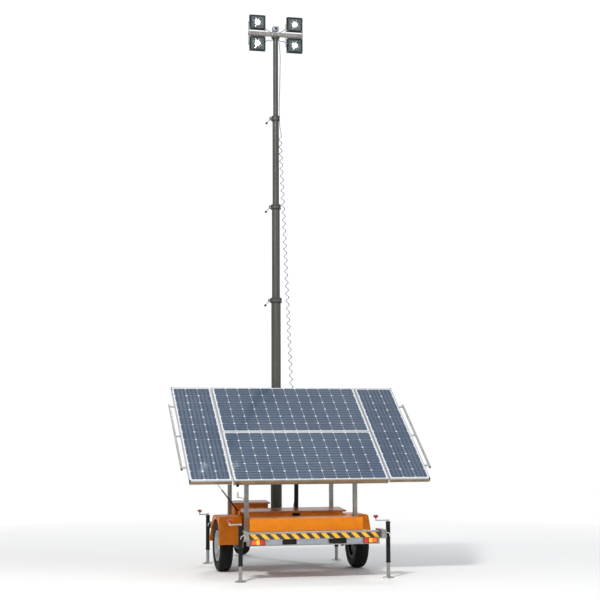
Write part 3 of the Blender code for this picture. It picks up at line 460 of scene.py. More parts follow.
def cable(name, points, radius, finish, body="chassis"):
    """A round cable or bent rod through the points."""
    data = bpy.data.curves.new(name, "CURVE")
    data.dimensions = "3D"
    data.bevel_depth = radius
    data.bevel_resolution = 2
    data.resolution_u = 4
    data.use_fill_caps = True
    spline = data.splines.new("BEZIER")
    spline.bezier_points.add(len(points) - 1)
    for knot, point in zip(spline.bezier_points, points):
        knot.co = point
        knot.handle_left_type = "AUTO"
        knot.handle_right_type = "AUTO"
    piece = add_object(name, data)
    data.materials.append(LOOK[finish])
    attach(piece, body)


# -------------------- CAD nodes
CAD_FINISHES = (
    ("zinc", ("panel_support_frame",)),
    # the rear cowl gets the lighter orange copy as painted light
    ("orange_painted_lit", ("rear_cowl",)),
    # the box lids get the darker orange copy as painted shade
    ("orange_painted_shade", ("box_lid",)),
    ("orange", ("battery_box", "control_box", "fender")),
    ("battery", ("battery_bank",)),
    ("rubber", ("tyre", "jockey_wheel")),
    ("rim", ("left_rim", "right_rim")),
    ("red", ("tail_light",)),
    ("black", ("actuator_body", "stay_tube", "lid_latch", "jack_tube")),
    ("lever", ("mast_lock",)),
    ("mast", ("mast",)),
    ("lamp", ("floodlight",)),
    ("bright", ("jack_crank", "grab_rail", "actuator_rod", "stay_rod")),
    ("frame", ("panel",)),
)


def node_finish(name):
    """The first finish with a word of the node's name."""
    for finish, words in CAD_FINISHES:
        if any(word in name for word in words):
            return finish
    return "zinc"


def dress_nodes():
    """Gives every CAD node its finish, and softens its edges, except on the many-sided mast tubes."""
    for name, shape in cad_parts.items():
        shape.data.materials.clear()
        shape.data.materials.append(LOOK[node_finish(name)])
        joined = shape.modifiers.new("join", "WELD")
        joined.merge_threshold = 0.00002
        if name.startswith("mast"):
            continue
        soft = shape.modifiers.new("soft_edges", "BEVEL")
        soft.width = 0.0011
        soft.segments = 2
        soft.limit_method = "ANGLE"
        soft.angle_limit = math.radians(40.0)
        soft.use_clamp_overlap = True
        soft.harden_normals = False


# -------------------- solar array
def cell_sheet(name, x0, s0, columns, rows, pitch_x, pitch_s, bars_along_x, body):
    """The cells of one panel: squares with cut corners, one tone per cell, nearly touching up the slope."""
    half_s = pitch_s / 2 - CELL_JOINT
    bm = bmesh.new()
    place = bm.loops.layers.uv.new("cell")
    tone = bm.loops.layers.uv.new("tone")
    for i in range(columns):
        for k in range(rows):
            cx = x0 + (i + 0.5) * pitch_x
            cs = s0 + (k + 0.5) * pitch_s
            shade = (math.sin(i * 12.9898 + k * 78.233) * 43758.5453) % 1.0
            add_cell(bm, cx, cs, half_s, bars_along_x, shade, place, tone)
    return mesh_piece(name, bm, "cell", body, smooth=False)


def add_cell(bm, cx, cs, tall, bars_along_x, shade, place, tone):
    wide, corner = CELL_SIZE / 2, CELL_CORNER
    outline = []
    for a, b in ((1, 1), (-1, 1), (-1, -1), (1, -1)):
        first, second = (a * wide, b * (tall - corner)), (a * (wide - corner), b * tall)
        outline += [first, second] if a == b else [second, first]
    face = bm.faces.new([bm.verts.new(array_point(cx + dx, cs + ds, CELL_LEVEL)) for dx, ds in outline])
    for loop, (dx, ds) in zip(face.loops, outline):
        u, v = dx / CELL_SIZE + 0.5, ds / CELL_SIZE + 0.5
        loop[place].uv = (u, v) if bars_along_x else (v, u)
        loop[tone].uv = (shade, 0.0)


def dress_array():
    length, gap, lip = 0.992, 0.010, 0.011
    half = high("lower_panel").x
    under, over = SHEET_LEVEL - 0.0002, SHEET_LEVEL
    for word, s0 in (("lower", 0.0), ("upper", length + gap)):
        spans = [(-half + lip, half - lip, s0 + lip, s0 + length - lip, under, over)]
        array_block(f"{word}_backing", spans, "backing", "solar_array", 0.0)
        pitch = 0.1585
        start = -6 * pitch
        inset = (length - 6 * pitch) / 2
        cell_sheet(f"{word}_cells", start, s0 + inset, 12, 6, pitch, pitch, True, "solar_array")
    total = 2 * length + gap
    for side, word in SIDES:
        name = f"{word}_wing_panel"
        x0, x1 = low(name).x, high(name).x
        body = f"{word}_wing"
        spans = [(x0 + lip, x1 - lip, lip, total - lip, under, over)]
        array_block(f"{word}_wing_backing", spans, "backing", body, 0.0)
        pitch_x, pitch_s = 0.1580, 0.1612
        start = (x0 + x1) / 2 - 1.5 * pitch_x
        inset = (total - 12 * pitch_s) / 2
        cell_sheet(f"{word}_wing_cells", start, inset, 3, 12, pitch_x, pitch_s, False, body)
        dress_wing_edge(side, word, total)
    spans = [(-half, half, -0.0006, 0.0040, -0.0700, -0.0062)]
    array_block("lower_edge_channel", spans, "weathered_rail_painted_shade", "solar_array", 0.0008)
    spans = [(-half, half, length - 0.004, length + gap + 0.004, 0.0002, 0.0022)]
    array_block("middle_rail", spans, "frame", "solar_array", 0.0005)
    dress_array_back()


def dress_wing_edge(side, word, total):
    """Hinge knuckles beside the wing, end caps of its grab rail, corner caps and clamp bolts."""
    x = side * 0.985
    bm = bmesh.new()
    for s in (0.18, 0.72, 1.27, 1.80):
        for part in range(3):
            start = array_point(x, s + part * 0.027, -0.0445)
            add_turned(bm, [(0.0045, 0.0), (0.0045, 0.025)], start, SLOPE, 12)
    mesh_piece(f"{word}_hinges", bm, "black", "solar_array")
    wing = f"{word}_wing_panel"
    far = high(wing).x if side > 0 else -high("right_wing_panel").x
    spans = []
    for s in (0.0, total):
        a, b = sorted((far - side * 0.016, far + side * 0.0012))
        s0, s1 = (s - 0.0012, s + 0.020) if s == 0.0 else (s - 0.020, s + 0.0012)
        spans.append((a, b, s0, s1, -0.041, 0.0012))
    array_block(f"{word}_corner_caps", spans, "black", f"{word}_wing")
    x0, x1 = low(wing).x, high(wing).x
    spans = [(x0 + 0.001, x1 - 0.001, -0.0006, 0.0200, -0.0600, -0.0405)]
    array_block(f"{word}_lower_channel", spans, "frame", f"{word}_wing", 0.0008)
    spans = [(x0 + 0.004, x1 - 0.004, -0.0016, 0.0010, -0.0520, -0.0120)]
    array_block(f"{word}_edge_channel", spans, "weathered_rail_painted_shade", f"{word}_wing", 0.0008)
    bm = bmesh.new()
    for s, sense in ((0.240, -1), (1.600, 1)):
        start = array_point(side * 1.583, s + sense * 0.0005, -0.012)
        add_turned(bm, [(0.0128, -0.012), (0.0128, 0.004), (0.009, 0.008)], start, SLOPE * sense, 16)
    mesh_piece(f"{word}_rail_caps", bm, "black", f"{word}_wing")
    spots = [array_point(side * 1.532, s, -0.008) for s in (0.269, 0.914, 1.559)]
    bolts(f"{word}_rail_bolts", spots, NORMAL, 0.0045, f"{word}_wing")


def dress_array_back():
    """Junction boxes, leads and frame bolts behind the panels, and the release knob at the lower edge."""
    spans = []
    for x in (-0.35, 0.35):
        for s in (0.80, 1.80):
            spans.append((x - 0.055, x + 0.055, s - 0.045, s + 0.045, -0.030, -0.0075))
    array_block("junction_boxes", spans, "lamp", "solar_array", 0.004)
    for i, (x, s) in enumerate(((-0.35, 0.80), (0.35, 0.80), (-0.35, 1.80), (0.35, 1.80))):
        points = [array_point(x, s - 0.04, -0.022), array_point(x * 0.9, s - 0.12, -0.035)]
        points += [array_point(x * 0.55, s - 0.16, -0.034), array_point(x * 0.30, s - 0.13, -0.030)]
        cable(f"panel_lead_{i}", points, 0.0035, "black_cable", "solar_array")
    for side, word in SIDES:
        spans = [(side * 1.25 - 0.04, side * 1.25 + 0.04, 1.55, 1.65, -0.030, -0.0075)]
        array_block(f"{word}_wing_junction_box", spans, "lamp", f"{word}_wing", 0.004)
    rungs = (0.020, 0.670, 1.000, 1.970)
    spots = [array_point(x, s, -0.0705) for x in (-0.90, -0.45, 0.45, 0.90) for s in rungs]
    bolts("frame_bolts", spots, -NORMAL, 0.006, "solar_array")
    start = array_point(-0.930, 0.004, -0.058)
    profile = [(0.006, 0.0), (0.006, 0.022), (0.016, 0.024), (0.020, 0.032), (0.016, 0.042), (0.006, 0.045)]
    turned("array_release_knob", profile, start, (0.0, -0.85, -0.53), "black", "solar_array", 18)


# -------------------- bumper and boxes
def dress_bumper():
    """Hazard tape over the upper half of the bumper, plates between its windows, lenses in its lamps."""
    lo, hi = low("rear_bumper"), high("rear_bumper")
    face = lo.y
    z0, z1 = lo.z + 0.080, lo.z + 0.143
    half = hi.x - 0.004
    near, far = (-half, face - 0.0010, z0), (half, face - 0.0001, z1)
    block("hazard_tape", near, far, "yellow_tape", bevel=0.0)
    stripes = bmesh.new()
    pitch = 2 * half / STRIPE_COUNT
    width = pitch * 0.50
    lean = z1 - z0
    for i in range(STRIPE_COUNT + 1):
        x = -half + (i - 0.40) * pitch
        corners = [(x, z1), (x + width, z1), (x + width + lean, z0), (x + lean, z0)]
        corners = [(min(max(cx, -half), half), cz) for cx, cz in corners]
        if max(corners[1][0] - corners[0][0], corners[2][0] - corners[3][0]) < 0.002:
            continue
        near = [stripes.verts.new((cx, face - 0.0016, cz)) for cx, cz in corners]
        far = [stripes.verts.new((cx, face - 0.0011, cz)) for cx, cz in corners]
        bridge(stripes, [near, far])
        close_ends(stripes, [near, far])
    mesh_piece("hazard_stripes", stripes, "black_tape", smooth=False)
    plates = bmesh.new()
    w0, w1 = lo.z + 0.014, lo.z + 0.076
    for x0, x1 in ((-0.580, -0.405), (-0.220, 0.174), (0.405, 0.600)):
        add_block(plates, (x0, face - 0.0022, w0), (x1, face - 0.0003, w1), 0.0008)
    mesh_piece("bumper_plates", plates, "grey_plate")
    near, far = (0.178, face - 0.020, w0 + 0.006), (0.220, face - 0.0005, w1 - 0.004)
    block("plate_lamp", near, far, "black", bevel=0.003)
    # Black sheets behind the bumper's windows: painted shade in the recesses
    dark = bmesh.new()
    for side in (-1, 1):
        x0, x1 = sorted((side * 0.222, side * 0.403))
        add_block(dark, (x0, face + 0.006, w0 - 0.004), (x1, face + 0.010, w1 + 0.004))
    mesh_piece("bumper_recess_shade_sheets", dark, "black")
    for side, word in SIDES:
        dress_tail_light(side, word)
    spots = [(x, face - 0.0022, w0 + 0.010) for x in (-0.565, -0.420, -0.205, 0.160, 0.420, 0.585)]
    bolts("plate_screws", spots, REARWARD, 0.0035)
    spots = [(x, lo.y + 0.03, hi.z) for x in (-0.76, -0.40, 0.0, 0.40, 0.76)]
    bolts("bumper_bolts", spots, UP, 0.006)


def dress_tail_light(side, word):
    """Three-colour lens: amber outside, a clear yellow middle, red inside, in a black gasket."""
    lo, hi = low(f"{word}_tail_light"), high(f"{word}_tail_light")
    y = lo.y
    outer, inner = (lo.x, hi.x) if side < 0 else (hi.x, lo.x)
    span = inner - outer
    for start, end, colour in ((0.03, 0.36, "amber"), (0.38, 0.60, "yellow"), (0.62, 0.97, "red")):
        x0, x1 = sorted((outer + span * start, outer + span * end))
        near, far = (x0, y - 0.006, lo.z + 0.004), (x1, y - 0.0003, hi.z - 0.004)
        block(f"{word}_{colour}_lens", near, far, colour, bevel=0.0025)
    edge = 0.0035
    near, far = (lo.x - edge, y + edge, lo.z - edge), (hi.x + edge, y + 0.0095, hi.z + edge)
    block(f"{word}_lamp_gasket", near, far, "black", bevel=0.001)


def dress_boxes():
    """Seams, rivets, hinges and handles of the orange bodywork."""
    lo, hi = low("rear_cowl"), high("rear_cowl")
    rivets = []
    for i in range(14):
        x = lo.x + 0.030 + i * (hi.x - lo.x - 0.060) / 13
        rivets.append((x, lo.y, hi.z - 0.014))
        rivets.append((x, lo.y, lo.z + 0.012))
    bm = bmesh.new()
    for spot in rivets:
        add_turned(bm, [(0.0045, 0.0), (0.004, 0.0018), (0.002, 0.0026)], spot, REARWARD, 10)
    mesh_piece("cowl_rivets", bm, "orange_painted_lit")
    bm = bmesh.new()
    add_block(bm, (lo.x, lo.y - 0.003, hi.z - 0.003), (hi.x, lo.y + 0.006, hi.z + 0.003), 0.0025)
    add_block(bm, (-0.004, lo.y - 0.002, lo.z + 0.004), (0.004, lo.y - 0.0001, hi.z - 0.006), 0.0008)
    mesh_piece("cowl_edge_roll", bm, "orange_painted_lit")
    for name, count in (("battery_box_lid", 4), ("control_box_lid", 2)):
        a, b = low(name), high(name)
        bm = bmesh.new()
        for i in range(count):
            x = a.x + (i + 0.5) * (b.x - a.x) / count
            add_turned(bm, [(0.006, -0.035), (0.006, 0.035)], (x, b.y + 0.005, a.z + 0.003), (1, 0, 0), 12)
            add_block(bm, (x - 0.034, b.y, a.z - 0.034), (x + 0.034, b.y + 0.003, a.z + 0.002), 0.001)
        mesh_piece(f"{name}_hinges", bm, "zinc")
    dress_vents()
    a, b = low("lid_latch"), high("lid_latch")
    face = low("battery_box").y
    near, far = (a.x - 0.006, face - 0.0028, a.z - 0.035), (b.x + 0.006, face - 0.0002, b.z + 0.006)
    block("latch_plate", near, far, "black", bevel=0.001)
    bm = bmesh.new()
    add_block(bm, (a.x + 0.006, a.y - 0.003, a.z + 0.004), (b.x - 0.006, a.y + 0.001, b.z - 0.020), 0.0015)
    button = [(0.008, 0.0), (0.008, 0.003), (0.006, 0.004)]
    add_turned(bm, button, (0, a.y - 0.001, a.z + 0.018), REARWARD, 16)
    mesh_piece("latch_grip", bm, "lamp", "latch")


def dress_vents():
    """Louvres on the ends of the battery box and on the control box's outer side, and a cable gland."""
    bm = bmesh.new()
    lo, hi = low("battery_box"), high("battery_box")
    tilt = Matrix.Rotation(math.radians(35.0), 4, "Y")
    for side in (-1, 1):
        x = hi.x if side > 0 else lo.x
        for i in range(5):
            z = lo.z + 0.045 + i * 0.024
            centre = Vector((x + side * 0.003, middle("battery_box").y, z))
            half = Vector((0.005, 0.085, 0.0015))
            add_block(bm, centre - half, centre + half, 0.0005, tilt if side > 0 else tilt.inverted())
    mesh_piece("battery_box_louvres", bm, "orange")
    lo, hi = low("control_box"), high("control_box")
    bm = bmesh.new()
    for i in range(6):
        z = lo.z + 0.075 + i * 0.020
        add_block(bm, (lo.x + 0.08, lo.y - 0.005, z), (hi.x - 0.08, lo.y - 0.0002, z + 0.005), 0.0015)
    mesh_piece("control_box_louvres", bm, "orange")
    box_y, mast_y = middle("control_box").y, low("mast_base").y
    gland = (hi.x, box_y, lo.z + 0.07)
    profile = [(0.014, 0.0), (0.014, 0.012), (0.010, 0.020)]
    turned("control_box_gland", profile, gland, (1, 0, 0), "black", segments=12)
    points = [(hi.x + 0.018, box_y, lo.z + 0.07), (hi.x + 0.10, box_y + 0.06, lo.z + 0.03)]
    points += [(-0.08, mast_y - 0.02, lo.z + 0.03), (0.0, mast_y + 0.02, lo.z + 0.05)]
    cable("control_lead", points, 0.007, "black_cable")


# -------------------- wheels and fenders
def tyre(word):
    """Road tyre with three grooves round the tread, cross cuts and ribs on the side walls."""
    name = f"{word}_tyre"
    centre = middle(name)
    radius = (high(name).z - low(name).z) / 2
    half_width = (high(name).x - low(name).x) / 2
    segments = TREAD_BLOCKS * 3
    outline = [
        (0.1862, -0.064), (0.200, -0.0685), (0.212, -0.0765), (0.216, -0.0775), (0.222, -0.079),
        (0.252, -0.0835), (0.280, -half_width), (0.296, -half_width + 0.004), (0.306, -0.0745),
        (0.3150, -0.063), (0.3195, -0.052), (0.3215, -0.040), (0.313, -0.038), (0.314, -0.031),
        (0.3235, -0.029), (radius, -0.005), (radius - 0.009, -0.004),
    ]
    outline += [(r, -w) for r, w in reversed(outline)]
    cut_rows = {i for i, (r, w) in enumerate(outline) if r > radius - 0.013}
    bm = bmesh.new()
    rings = []
    for i in range(segments):
        angle = 2 * math.pi * i / segments
        ring = []
        for index, (r, w) in enumerate(outline):
            shift = 0.010 * (1 if w > 0 else -1)
            bent = angle + shift * (abs(w) / half_width)
            depth = 0.006 if index in cut_rows and i % 3 == 0 and abs(w) > 0.02 else 0.0
            point = Vector((w, (r - depth) * math.cos(bent), (r - depth) * math.sin(bent)))
            ring.append(bm.verts.new(centre + point))
        rings.append(ring)
    bridge(bm, rings, closed=True)
    piece = mesh_piece(f"{word}_tyre_tread", bm, "rubber", f"{word}_wheel")
    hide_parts(name)


def dress_wheel(side, word):
    tyre(word)
    centre = middle(f"{word}_rim")
    outward = Vector((side, 0, 0))
    profile = [(0.054, 0.010), (0.052, 0.048), (0.044, 0.058), (0.020, 0.062), (0.004, 0.063)]
    turned(f"{word}_hub_cap", profile, centre, outward, "rim", f"{word}_wheel", 28)
    spots = []
    for i in range(5):
        angle = 2 * math.pi * i / 5 + 0.3
        spots.append(centre + Vector((side * 0.021, 0.078 * math.cos(angle), 0.078 * math.sin(angle))))
    bolts(f"{word}_wheel_nuts", spots, outward, 0.0095, f"{word}_wheel")
    # Black discs for the rim's holes: painted shade seen through them
    bm = bmesh.new()
    for i in range(10):
        angle = 2 * math.pi * i / 10
        spot = centre + Vector((side * 0.0245, 0.135 * math.cos(angle), 0.135 * math.sin(angle)))
        add_turned(bm, [(0.017, 0.0), (0.017, 0.0015)], spot, outward, 14)
    mesh_piece(f"{word}_rim_hole_shade_discs", bm, "black", f"{word}_wheel")


def dress_fender(side, word):
    """Rolled lip round the wheel arch and a marker lens above it."""
    name = f"{word}_fender"
    lo, hi = low(name), high(name)
    axle = middle(f"{word}_tyre")
    outer_x = hi.x if side > 0 else lo.x
    lean = (abs(outer_x) - CROWN_X) / (CROWN_Z - lo.z)
    points = []
    for i in range(25):
        angle = math.pi * (0.035 + 0.93 * i / 24)
        z = axle.z + ARCH_LIP * math.sin(angle)
        x = outer_x - side * (0.003 + (z - lo.z) * lean)
        points.append((x, axle.y + ARCH_LIP * math.cos(angle), z))
    cable(f"{word}_arch_lip", points, 0.0048, "orange")
    top = CROWN_Z - 0.020
    x = outer_x - side * (0.0005 + (top - lo.z) * lean)
    x0, x1 = sorted((x - side * 0.001, x + side * 0.0045))
    near, far = (x0, axle.y - 0.045, top - 0.014), (x1, axle.y + 0.045, top + 0.012)
    block(f"{word}_side_marker", near, far, "amber", bevel=0.002)


# -------------------- mast and lamps
def dress_mast():
    """Split clamps, bolts and wiper screws on the collars, lever knobs and the coiled supply cable."""
    centre = Vector((0.0, middle("mast_stage_4").y, 0.0))
    tubes = (("mast_base", "chassis"), ("mast_stage_1", "mast_1"), ("mast_stage_2", "mast_2"),
             ("mast_stage_3", "mast_3"))
    for number, ((tube, body), radius) in enumerate(zip(tubes, TUBE_RADII), 1):
        top = high(tube).z
        bm = bmesh.new()
        inner, rounded, outer = radius + 0.0105, radius + 0.0146, radius + 0.0165
        ring = [(rounded, 0.0), (outer, 0.002), (outer, 0.010), (rounded, 0.012)]
        ring += [(inner, 0.012), (inner, 0.0)]
        for drop in (0.068, 0.024):
            add_ring(bm, ring, centre + Vector((0, 0, top - drop)), 36)
        mesh_piece(f"collar_bands_{number}", bm, "collar", body)
        spots = [(-radius - 0.029, centre.y - 0.022, top - drop) for drop in (0.048, 0.026)]
        bolts(f"collar_bolts_{number}", spots, REARWARD, 0.0055, body)
        spots = []
        for angle in (30.0, 90.0, 150.0, 330.0):
            turn = math.radians(angle)
            out = Vector((math.cos(turn), math.sin(turn), 0.0)) * (radius + 0.0065)
            spots.append(centre + out + Vector((0, 0, top)))
        bolts(f"wiper_screws_{number}", spots, UP, 0.0028, body)
        tip = low(f"mast_lock_{number}")
        profile = [(0.004, -0.017), (0.011, -0.014), (0.0155, 0.0), (0.011, 0.014), (0.004, 0.017)]
        spot = (tip.x + 0.013, centre.y, tip.z + 0.013)
        turned(f"lock_knob_{number}", profile, spot, (0.63, 0, 0.77), "black", f"lock_{number}", 16)
    dress_coil()


def add_ring(bm, profile, origin, segments):
    """A closed band from a closed (radius, height) outline, round the vertical."""
    rings = []
    for radius, height in profile:
        points = [Vector((radius * c, radius * s, height)) for c, s in circle(segments)]
        rings.append([bm.verts.new(origin + point) for point in points])
    bridge(bm, rings, closed=True)


def dress_coil():
    """Coiled lamp cable hanging beside the mast, in four stretches, with a lead at each end."""
    mast_y, deck, bar_z = middle("mast_stage_4").y, low("mast_base").z, middle("lamp_crossbar").z
    top = Vector((0.045, mast_y - 0.075, high("mast_stage_3").z - 0.30))
    foot = Vector((0.262, mast_y - 0.075, deck + 0.40))
    bodies = ("mast_4", "mast_3", "mast_2", "mast_1", "chassis")
    for index, (upper, lower) in enumerate(zip(bodies, bodies[1:])):
        start = top.lerp(foot, index / 4)
        end = top.lerp(foot, (index + 1) / 4)
        coil = coil_length(f"coiled_cable_{index + 1}", start, end)
        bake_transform(coil)
    aside = Vector((COIL_RADIUS, 0, 0))
    points = [top + aside, top + Vector((0.0, 0.02, 0.18)), (0.052, mast_y - 0.05, bar_z - 0.60)]
    points += [(0.050, mast_y - 0.045, bar_z - 0.20), (0.020, mast_y - 0.035, bar_z - 0.03)]
    cable("mast_lead", points, 0.0048, "cable", "mast_4")
    points = [foot + aside, foot + Vector((0.01, 0.02, -0.20)), (0.24, mast_y - 0.06, deck + 0.05)]
    points += [(0.12, mast_y - 0.10, deck + 0.02), (0.02, mast_y - 0.11, deck + 0.02)]
    cable("foot_lead", points, 0.0048, "cable")


def coil_length(name, start, end):
    """One stretch of the helix, as a round tube swept along it."""
    turns = round((start.z - end.z) / COIL_PITCH)
    steps = turns * 14
    bm = bmesh.new()
    rings = []
    for i in range(steps + 1):
        angle = 2 * math.pi * turns * i / steps
        out = Vector((math.cos(angle), math.sin(angle), 0.0))
        centre = start.lerp(end, i / steps) + out * COIL_RADIUS
        spread = [out * (CABLE_RADIUS * c) + Vector((0, 0, CABLE_RADIUS * s)) for c, s in circle(8)]
        rings.append([bm.verts.new(centre + offset) for offset in spread])
    bridge(bm, rings)
    close_ends(bm, rings)
    mesh = finished_mesh(name, bm, "cable")
    mesh.shade_smooth()
    piece = add_object(name, mesh)
    return piece


def dress_head():
    """Floodlight fronts, their leads, the sensor box and the crossbar's clamps."""
    bar = middle("lamp_crossbar")
    for height in ("upper", "lower"):
        for word in ("left", "right"):
            dress_floodlight(f"floodlight_{height}_{word}", f"lamp_{height}_{word}")
    top = bar.z + 0.025
    bm = bmesh.new()
    add_block(bm, (-0.042, bar.y - 0.040, top + 0.022), (0.042, bar.y + 0.040, top + 0.088), 0.006)
    add_block(bm, (-0.012, bar.y - 0.012, top), (0.012, bar.y + 0.012, top + 0.026), 0.002)
    mesh_piece("light_sensor", bm, "grey_plate", "mast_4")
    profile = [(0.016, 0.0), (0.016, 0.004), (0.010, 0.010), (0.003, 0.012)]
    window = (0, bar.y - 0.040, top + 0.055)
    turned("light_sensor_window", profile, window, REARWARD, "lamp", "mast_4", 20)
    bm = bmesh.new()
    for side in (-1, 1):
        for x, thick, half, bevel in ((0.045, 0.010, 0.029, 0.002), (0.3895, 0.001, 0.0255, 0.0008)):
            spot, reach = Vector((side * x, bar.y, bar.z)), Vector((thick, half, half))
            add_block(bm, spot - reach, spot + reach, bevel)
    mesh_piece("crossbar_clamps", bm, "zinc", "mast_4")
    spots = [(side * 0.045, bar.y - 0.029, bar.z) for side in (-1, 1)]
    bolts("crossbar_bolts", spots, REARWARD, 0.006, "mast_4")
    for side, word in SIDES:
        points = [(side * 0.02, bar.y - 0.02, bar.z - 0.035), (side * 0.06, bar.y - 0.03, bar.z - 0.10)]
        points += [(side * 0.12, bar.y - 0.01, bar.z - 0.09), (side * 0.155, bar.y + 0.02, bar.z - 0.12)]
        cable(f"lamp_loop_{word}", points, 0.0042, "black_cable", "mast_4")
        points = [(side * 0.03, bar.y + 0.02, bar.z + 0.030), (side * 0.08, bar.y + 0.03, bar.z + 0.05)]
        points += [(side * 0.14, bar.y + 0.02, bar.z + 0.09), (side * 0.158, bar.y + 0.02, bar.z + 0.13)]
        cable(f"lamp_lead_{word}", points, 0.0042, "black_cable", "mast_4")


def dress_floodlight(node_name, body):
    """Bezel, dark tray, eight-ray reflector and the bright chip."""
    lo, hi = low(node_name), high(node_name)
    lo.x += LAMP_PIN
    hi.x -= LAMP_PIN
    face = lo.y
    centre = Vector(((lo.x + hi.x) / 2, face, (lo.z + hi.z) / 2))
    rim = 0.020
    bm = bmesh.new()
    for z0, z1 in ((lo.z, lo.z + rim), (hi.z - rim, hi.z)):
        add_block(bm, (lo.x, face - 0.008, z0), (hi.x, face - 0.0002, z1), 0.002)
    for x0, x1 in ((lo.x, lo.x + rim), (hi.x - rim, hi.x)):
        add_block(bm, (x0, face - 0.008, lo.z + rim), (x1, face - 0.0002, hi.z - rim), 0.002)
    mesh_piece(f"{node_name}_bezel", bm, "lamp", body)
    near, far = (lo.x + rim, face - 0.0012, lo.z + rim), (hi.x - rim, face - 0.0002, hi.z - rim)
    block(f"{node_name}_tray", near, far, "halo", body, 0.0)
    bm = bmesh.new()
    base = centre + Vector((0, -0.0018, 0))
    for i in range(8):
        angle = math.pi / 4 * i + math.pi / 8
        ray = Vector((math.cos(angle), 0, math.sin(angle))) * (0.082 if i % 2 else 0.066)
        across = Vector((-math.sin(angle), 0, math.cos(angle))) * 0.014
        wide = base + ray * 0.55
        ridge = bm.verts.new(wide + Vector((0, -0.004, 0)))
        outline = [bm.verts.new(c) for c in (base, wide + across, base + ray, wide - across)]
        for a in range(4):
            bm.faces.new((outline[a], outline[(a + 1) % 4], ridge))
        bm.faces.new(outline)
    mesh_piece(f"{node_name}_reflector", bm, "mirror", body, smooth=False)
    profile = [(0.030, 0.0), (0.030, 0.0030), (0.022, 0.0055), (0.006, 0.0068)]
    turned(f"{node_name}_chip", profile, centre + Vector((0, -0.0015, 0)), REARWARD, "led", body)
    inset = 0.010
    xs, zs = (lo.x + inset, hi.x - inset), (lo.z + inset, hi.z - inset)
    spots = [(x, face - 0.008, z) for x in xs for z in zs]
    bolts(f"{node_name}_screws", spots, REARWARD, 0.0032, body)


# -------------------- stands, hitch and linkages
def dress_jacks():
    for name in ("rear_left", "rear_right", "front_left", "front_right"):
        tube, leg, crank = f"jack_tube_{name}", f"jack_leg_{name}", f"jack_crank_{name}"
        foot = middle(leg)
        side = 1 if foot.x > 0 else -1
        bm = bmesh.new()
        add_ring(bm, band(0.0274, 0.0305, 0.016), Vector((foot.x, foot.y, low(tube).z)), 24)
        add_ring(bm, band(0.0274, 0.0300, 0.014), Vector((foot.x, foot.y, high(tube).z - 0.016)), 24)
        mesh_piece(f"jack_bands_{name}", bm, "black", f"jack_{name}")
        knob_y = (low(crank).y + 0.031) if "left" in name else foot.y
        knob = (low(crank).x + 0.031, knob_y, high(crank).z)
        profile = [(0.008, -0.040), (0.015, -0.036), (0.0315, -0.018), (0.0325, -0.009)]
        profile += [(0.020, 0.0006), (0.004, 0.002)]
        turned(f"jack_knob_{name}", profile, knob, UP, "red_knob", f"crank_{name}")
        pin = Vector((foot.x - side * 0.028, foot.y, 0.545))
        bends = [(0.0, -0.020, 0.0), (-0.002, -0.050, 0.005)]
        bends += [(0.030, -0.058, -0.012), (0.034, -0.052, -0.040)]
        points = [pin + Vector((side * x, y, z)) for x, y, z in bends]
        cable(f"jack_pin_{name}", points, 0.0045, "white", f"jack_{name}")
        reach = 0.052 * math.sqrt(0.5)
        spots = [(foot.x + a * reach, foot.y + b * reach, 0.0095) for a in (-1, 1) for b in (-1, 1)]
        bolts(f"jack_foot_bolts_{name}", spots, UP, 0.004, f"leg_{name}")


def band(inner, outer, height):
    """Outline of a ring with softened outer edges."""
    soft = 0.0015
    low_edge = [(inner, 0.0), (outer - soft, 0.0), (outer, soft)]
    return low_edge + [(outer, height - soft), (outer - soft, height), (inner, height)]


def dress_hitch():
    """Coupling bolts, safety chain, lead and plug, the jockey clamp's handle and the crank's grip."""
    lo = low("coupling_head")
    spots = [(0.045, lo.y + y, 0.51) for y in (0.03, 0.09)]
    bolts("coupling_bolts", spots, (1, 0, 0), 0.008)
    bm = bmesh.new()
    start = Vector((0.050, lo.y + 0.02, 0.470))
    for i in range(9):
        sag = 0.060 * math.sin(math.pi * i / 8)
        centre = start + Vector((0.004, i * 0.026, -sag))
        turn = Matrix.Rotation(math.pi / 2 * (i % 2), 4, "Y")
        add_link(bm, centre, turn)
    mesh_piece("safety_chain", bm, "bright")
    points = [(-0.05, lo.y - 0.30, 0.560), (-0.035, lo.y - 0.10, 0.565), (-0.055, lo.y + 0.05, 0.575)]
    points += [(-0.075, lo.y + 0.14, 0.520), (-0.070, lo.y + 0.11, 0.450)]
    cable("trailer_lead", points, 0.0055, "black_cable")
    profile = [(0.014, 0.0), (0.016, 0.006), (0.016, 0.040), (0.020, 0.042), (0.020, 0.052)]
    turned("trailer_plug", profile, points[-1], (0.1, -0.3, -1), "lamp", "chassis", 18)
    y, z = middle("jockey_tube").y, 0.500
    points = [(-0.150, y - 0.036, z), (-0.150, y - 0.075, z), (-0.110, y - 0.085, z)]
    cable("jockey_clamp_handle", points, 0.005, "bright")
    profile = [(0.012, 0.0), (0.0135, 0.01), (0.0135, 0.066), (0.010, 0.074)]
    grip = (low("jockey_tube").x + 0.0115, y, 0.828)
    turned("jockey_grip", profile, grip, UP, "white", "jockey_stem", 16)


def add_link(bm, centre, turn):
    """One oval chain link."""
    rings = []
    for along, up in circle(16):
        half_straight = 0.006 if along > 0 else -0.006
        outward = Vector((0.0, along, up))
        spine = outward * LINK_RADIUS + Vector((0.0, half_straight, 0.0))
        spread = [outward * (LINK_WIRE * c) + Vector((LINK_WIRE * s, 0, 0)) for c, s in circle(8)]
        rings.append([bm.verts.new(centre + turn @ (spine + offset)) for offset in spread])
    bridge(bm, rings, closed=True)


